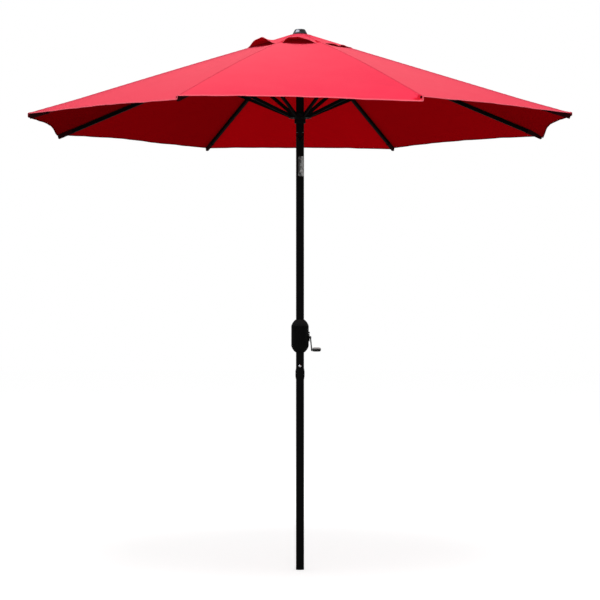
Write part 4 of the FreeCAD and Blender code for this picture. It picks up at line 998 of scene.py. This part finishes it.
def foil_material():
    """A bare foil patch, dull silver, with soft creases and scuffs, and paler towards its right."""
    material, g, shader = new_material("Foil patch")
    place = g.in_object()
    creases = g.noise(place, scale=85, detail=4, roughness=0.65)
    scuffs = g.noise(place, scale=240, detail=2)
    across = g.parts(g.sewn_map("Tone"))["X"]
    side = g.spread(across, 0.12, 0.62, FOIL_LEFT, FOIL_RIGHT)
    flat = g.spread(g.math("ADD", creases, side), 0.40, 0.66)
    g.link(g.mix(flat, FOIL_DARK, FOIL_PALE), shader["Base Color"])
    g.link(g.spread(scuffs, 0.3, 0.7, 0.32, 0.55), shader["Roughness"])
    shader["Metallic"].default_value = 0.2
    bump(g, shader, creases, distance=0.0006, strength=0.5)
    return material


# Colours of the grey metal parts and of the crank's arm.
JOINER_GREY, CHROME, ARM_BLACK = (0.30, 0.30, 0.31), (0.80, 0.80, 0.80), (0.004, 0.004, 0.004)


def frame_finishes(colours):
    """The material of each slot of the record that the hardware uses."""
    black, steel = list(colours.black), list(colours.steel)
    return {
        "pole_black": coated_material(
            "Pole powder coat", black, roughness=0.34, grain=420, dust=0.25),
        "rib_black": coated_material(
            "Rib powder coat", black, roughness=0.55, grain=420, gloss=0.015, dust=0.30),
        "moulded_black": coated_material(
            "Moulded black", black, roughness=0.48, grain=900, dust=0.45, upward_sheen=0.022),
        "cast_black": coated_material("Cast knuckle", black, roughness=0.40, grain=260, dust=0.3),
        "knob_black": coated_material(
            "Crank knob", times(black, 1.6), roughness=0.42, grain=700, gloss=0.2, dust=0.5,
            upward_sheen=0.7),
        "finial_black": finial_material(black),
        "joiner_steel": metal_material(
            "Joiner tube", JOINER_GREY, roughness=0.38, brush=(1, 1, 0.05)),
        "bright_steel": metal_material("Pins and screws", steel, roughness=0.30),
        "arm_steel": coated_material(
            "Crank arm", ARM_BLACK, roughness=0.30, grain=420, gloss=0.35, dust=0.3),
        "snap_chrome": metal_material("Snap button", CHROME, roughness=0.16),
    }


# Pale cloth, from bleaching and a painted sheen: its red times a number, and what its green and blue
# gain.
PALE_RED, PALE_GREEN, PALE_BLUE = 1.07, 0.067, 0.063
# Painted shade: shares of red, green and blue that the sunlit face keeps in full shade; the inside
# keeps none.
OUTSIDE_SHADE, NO_LIGHT = (0.45, 0.80, 0.90), (0.0, 0.0, 0.0)
# A painted glow on the cap's underside, for daylight through the cap.
CAP_PAINTED_GLOW, CAP_PAINTED_GLOW_STRENGTH = (1.0, 0.001, 0.012, 1), 0.11


def cloth_finishes(colours):
    """The outside and the inside of the canopy's cloth."""
    outside, inside = list(colours.cloth_outside), list(colours.cloth_inside)
    red, green, blue = outside
    pale = (red * PALE_RED, green + PALE_GREEN, blue + PALE_BLUE)
    return (
        cloth_material(
            "Cloth outside", outside, thread=list(colours.thread), fade_and_sheen_colour=pale, painted_edge=0.75,
            gloss=0.005, in_shade=OUTSIDE_SHADE),
        # Inside, the near-black thread paints shade on the band along the double hem and darkens the stitches.
        cloth_material(
            "Cloth inside", inside, thread=times(inside, 0.08), fade_and_sheen_colour=times(inside, 0.72),
            painted_edge=0.85, gloss=0.0, in_shade=NO_LIGHT),
    )


def cap_lining(colours):
    """The cap's underside: the inside of the cloth, painted darker as shade, with a painted glow for
    daylight coming through it.
    """
    inside = list(colours.cloth_inside)
    shaded_lining = times(inside, 0.5)
    material = cloth_material(
        "Cap lining", shaded_lining, thread=times(inside, 0.2), fade_and_sheen_colour=shaded_lining, painted_edge=0.85, gloss=0.0,
        in_shade=NO_LIGHT)
    shader = material.node_tree.nodes["Principled BSDF"].inputs
    shader["Emission Color"].default_value = CAP_PAINTED_GLOW
    shader["Emission Strength"].default_value = CAP_PAINTED_GLOW_STRENGTH
    return material


def webbing_material(colours):
    """A rib's pocket: woven webbing painted near black as painted shade, worn lighter in places."""
    material, g, shader = new_material("Pocket webbing")
    shaded_webbing = list(colours.shaded_webbing)
    place = g.sewn_map("Cloth")
    weave = g.group(weave_group(), Place=place, Pitch=WEBBING_PITCH)
    worn = g.noise(place, scale=60, detail=3)
    g.link(g.mix(worn, shaded_webbing, times(shaded_webbing, 1.6)), shader["Base Color"])
    shader["Roughness"].default_value = 0.85
    shader["Specular IOR Level"].default_value = 0.03
    bump(g, shader, weave["Height"], distance=0.0003, strength=0.6)
    return material


# ---------------------------------------------------------------- operators


class UMBRELLA_OT_frame(Operator):
    """Give every piece of hardware its finish"""

    bl_idname = "umbrella.frame"
    bl_label = "Finish Hardware"

    def execute(self, context):
        finishes = frame_finishes(context.scene.umbrella_colours)
        for node, slot in FINISH_OF_NODE.items():
            if slot in finishes:
                mesh = frame["nodes"][node].data
                mesh.materials.clear()
                mesh.materials.append(finishes[slot])
        return {"FINISHED"}


class UMBRELLA_OT_canopy(Operator):
    """Sew the canopy, the vent cap and the crown patch"""

    bl_idname = "umbrella.canopy"
    bl_label = "Sew Canopy"

    def execute(self, context):
        sizes, cap = context.scene.umbrella_canopy, context.scene.umbrella_cap
        colours = context.scene.umbrella_colours
        outside, inside = cloth_finishes(colours)
        lining = cap_lining(colours)
        shaded_webbing = webbing_material(colours)
        for rib in range(1, RIBS + 1):
            body, heading = f"rib_{rib}", rib_heading(rib)

            cloth = canopy_cloth(rib, sizes, cap.radius)
            finish_piece(cloth, body, "canopy_red", outside, inside)
            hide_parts(f"canopy_panel_{rib}")
            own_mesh(cloth)

            pocket = rib_pocket(rib, sizes)
            finish_piece(pocket, body, "canopy_red", shaded_webbing, shaded_webbing)

            flap = vent_cap(rib, cap, sizes.cloth)
            finish_piece(flap, body, "canopy_red", outside, lining)
            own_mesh(flap)
        disc = crown_disc(cap, sizes.cloth)
        finish_piece(disc, "pole_top", "canopy_red", outside, inside)
        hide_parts("crown_patch")
        return {"FINISHED"}


# The foil: its thickness, how far its face stands off the pole, how deep its dents are, the radius
# of its corners, and its rows of points.
FOIL, FOIL_FACE, FOIL_DENT, FOIL_CORNER, FOIL_ROWS = 0.0002, 0.00022, 0.00005, 0.004, 28


class UMBRELLA_OT_patch(Operator):
    """Stick the bare foil patch on the pole"""

    bl_idname = "umbrella.patch"
    bl_label = "Foil Patch"
    bl_options = {"REGISTER", "UNDO"}

    bottom: FloatProperty(name="Bottom", description="Patch's lower edge", default=1.853, unit="LENGTH")
    top: FloatProperty(name="Top", description="Patch's upper edge", default=1.947, unit="LENGTH")
    start: FloatProperty(name="Start", description="Where it starts round the pole", subtype="ANGLE",
                         default=math.radians(-115))
    sweep: FloatProperty(name="Sweep", description="How far it goes round", subtype="ANGLE",
                         default=math.radians(108))
    steps: IntProperty(name="Steps", description="Points round the patch", default=36)

    def execute(self, context):
        up = np.linspace(self.bottom, self.top, FOIL_ROWS)[:, None]
        inset = np.minimum(np.minimum(up - self.bottom, self.top - up), FOIL_CORNER)
        cut = FOIL_CORNER ** 2 - (FOIL_CORNER - inset) ** 2
        trim = (FOIL_CORNER - np.sqrt(np.maximum(cut, 0))) / POLE_RADIUS
        share = np.linspace(0, 1, self.steps)[None, :]
        angle = self.start + trim + share * (self.sweep - 2 * trim)
        radius = POLE_RADIUS + FOIL_FACE + FOIL_DENT * np.sin(up * 260) * np.sin(angle * 7)
        place, tone = pairs(angle * POLE_RADIUS, up), pairs(share, 0)
        top = round_pole(radius, angle, up)
        patch = sheet_shell("foil_patch", top, FOIL, place, place, tone, tone)
        foil = foil_material()
        finish_piece(patch, "pole_base", "bright_steel", foil, foil)
        return {"FINISHED"}


# How pale the floor is, and the glow that the camera sees on it.
FLOOR_SHADE, FLOOR_GLOW = 0.62, 0.62
# Each light's place, the point that it is turned towards and its width.
LIGHTS = {
    "key": ((0.1, -2.0, 7.6), (0, 0, 2.0), 4.5),
    "low": ((0, -6.5, 0.9), (0, 1.0, 2.3), 3.0),
    "gleam": ((-3.4, -1.1, 6.8), (0, 0, HUB_TOP), 5.0),
}
GLEAM_COLOUR = (0.82, 0.86, 1.0)


class UMBRELLA_OT_stage(Operator):
    """Lay the floor, hang the lights and place the camera"""

    bl_idname = "umbrella.stage"
    bl_label = "Stage"

    def floor(self, size):
        """A level pale square. The camera also sees a glow on it, which makes it paler still and
        leaves the shadows."""
        half = size / 2
        mesh = bpy.data.meshes.new("floor")
        corners = [(-half, -half, 0), (half, -half, 0), (half, half, 0), (-half, half, 0)]
        mesh.from_pydata(corners, [], [(0, 1, 2, 3)])
        floor = bpy.data.objects.new("floor", mesh)
        bpy.context.scene.collection.objects.link(floor)
        material, g, shader = new_material("Pale floor")
        shader["Base Color"].default_value = (FLOOR_SHADE, FLOOR_SHADE, FLOOR_SHADE, 1)
        shader["Roughness"].default_value = 0.9
        shader["Specular IOR Level"].default_value = 0.0
        glow = g.node("Emission")
        glow.inputs["Color"].default_value = (1, 1, 1, 1)
        g.link(g.math("MULTIPLY", g.seen(), FLOOR_GLOW), glow.inputs["Strength"])
        nodes = material.node_tree.nodes
        both = g.node("AddShader")
        g.link(nodes["Principled BSDF"].outputs[0], both.inputs[0])
        g.link(glow.outputs[0], both.inputs[1])
        g.link(both.outputs[0], nodes["Material Output"].inputs["Surface"])
        mesh.materials.append(material)

    def world(self, strength):
        """Even light, which shows as plain white to the camera."""
        world = bpy.data.worlds.new("Studio")
        world.use_nodes = True
        bpy.context.scene.world = world
        g = Graph(world.node_tree)
        sky = world.node_tree.nodes["Background"].inputs
        sky["Color"].default_value = (1, 1, 1, 1)
        g.link(g.spread(g.seen(), 0, 1, strength, 1.0), sky["Strength"])

    def light(self, name, power):
        """A square area light, turned towards its point."""
        place, aim, size = LIGHTS[name]
        data = bpy.data.lights.new(name, "AREA")
        data.size, data.energy = size, power
        lamp = bpy.data.objects.new(name, data)
        bpy.context.scene.collection.objects.link(lamp)
        lamp.location = place
        way = [a - b for a, b in zip(aim, place)]
        flat = math.hypot(way[0], way[1])
        lamp.rotation_euler = (math.atan2(flat, -way[2]), 0, math.atan2(-way[0], way[1]))
        return lamp

    def execute(self, context):
        sizes = context.scene.umbrella_stage
        self.floor(sizes.floor_size)
        self.world(sizes.sky)
        key = self.light("key", sizes.key_power)
        low = self.light("low", sizes.low_power)
        key.visible_glossy = low.visible_glossy = False
        gleam = self.light("gleam", sizes.gleam_power)
        gleam.data.color = GLEAM_COLOUR
        gleam.visible_diffuse = False
        data = bpy.data.cameras.new("camera")
        data.sensor_width, data.lens, data.shift_y = 36.0, sizes.focal_length, sizes.rise
        data.clip_end = 200
        camera = bpy.data.objects.new("camera", data)
        context.scene.collection.objects.link(camera)
        camera.location = (0, -sizes.camera_distance, sizes.camera_height)
        camera.rotation_euler = (math.pi / 2, 0, 0)
        context.scene.camera = camera
        context.scene.view_settings.view_transform = "Standard"
        return {"FINISHED"}


class UMBRELLA_PT_panel(Panel):
    """The umbrella's pieces"""

    bl_label = "Umbrella"
    bl_space_type = "VIEW_3D"
    bl_region_type = "UI"
    bl_category = "Umbrella"

    def draw(self, context):
        for operator in OPERATORS:
            self.layout.operator(operator.bl_idname)
        for group in (context.scene.umbrella_canopy, context.scene.umbrella_cap,
                      context.scene.umbrella_colours, context.scene.umbrella_stage):
            box = self.layout.box()
            for name in group.__annotations__:
                box.prop(group, name)


SETTINGS = {
    "umbrella_canopy": CanopySizes,
    "umbrella_cap": CapSizes,
    "umbrella_colours": Colours,
    "umbrella_stage": StageSizes,
}
OPERATORS = (UMBRELLA_OT_frame, UMBRELLA_OT_canopy, UMBRELLA_OT_patch, UMBRELLA_OT_stage)
CLASSES = (*SETTINGS.values(), *OPERATORS, UMBRELLA_PT_panel)


def register():
    for cls in CLASSES:
        bpy.utils.register_class(cls)
    for name, group in SETTINGS.items():
        setattr(bpy.types.Scene, name, PointerProperty(type=group))


def unregister():
    for name in SETTINGS:
        delattr(bpy.types.Scene, name)
    for cls in reversed(CLASSES):
        bpy.utils.unregister_class(cls)


def main():
    """Register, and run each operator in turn."""
    register()
    bpy.ops.umbrella.frame()
    bpy.ops.umbrella.canopy()
    bpy.ops.umbrella.patch()
    bpy.ops.umbrella.stage()


if __name__ == "__main__":
    main()
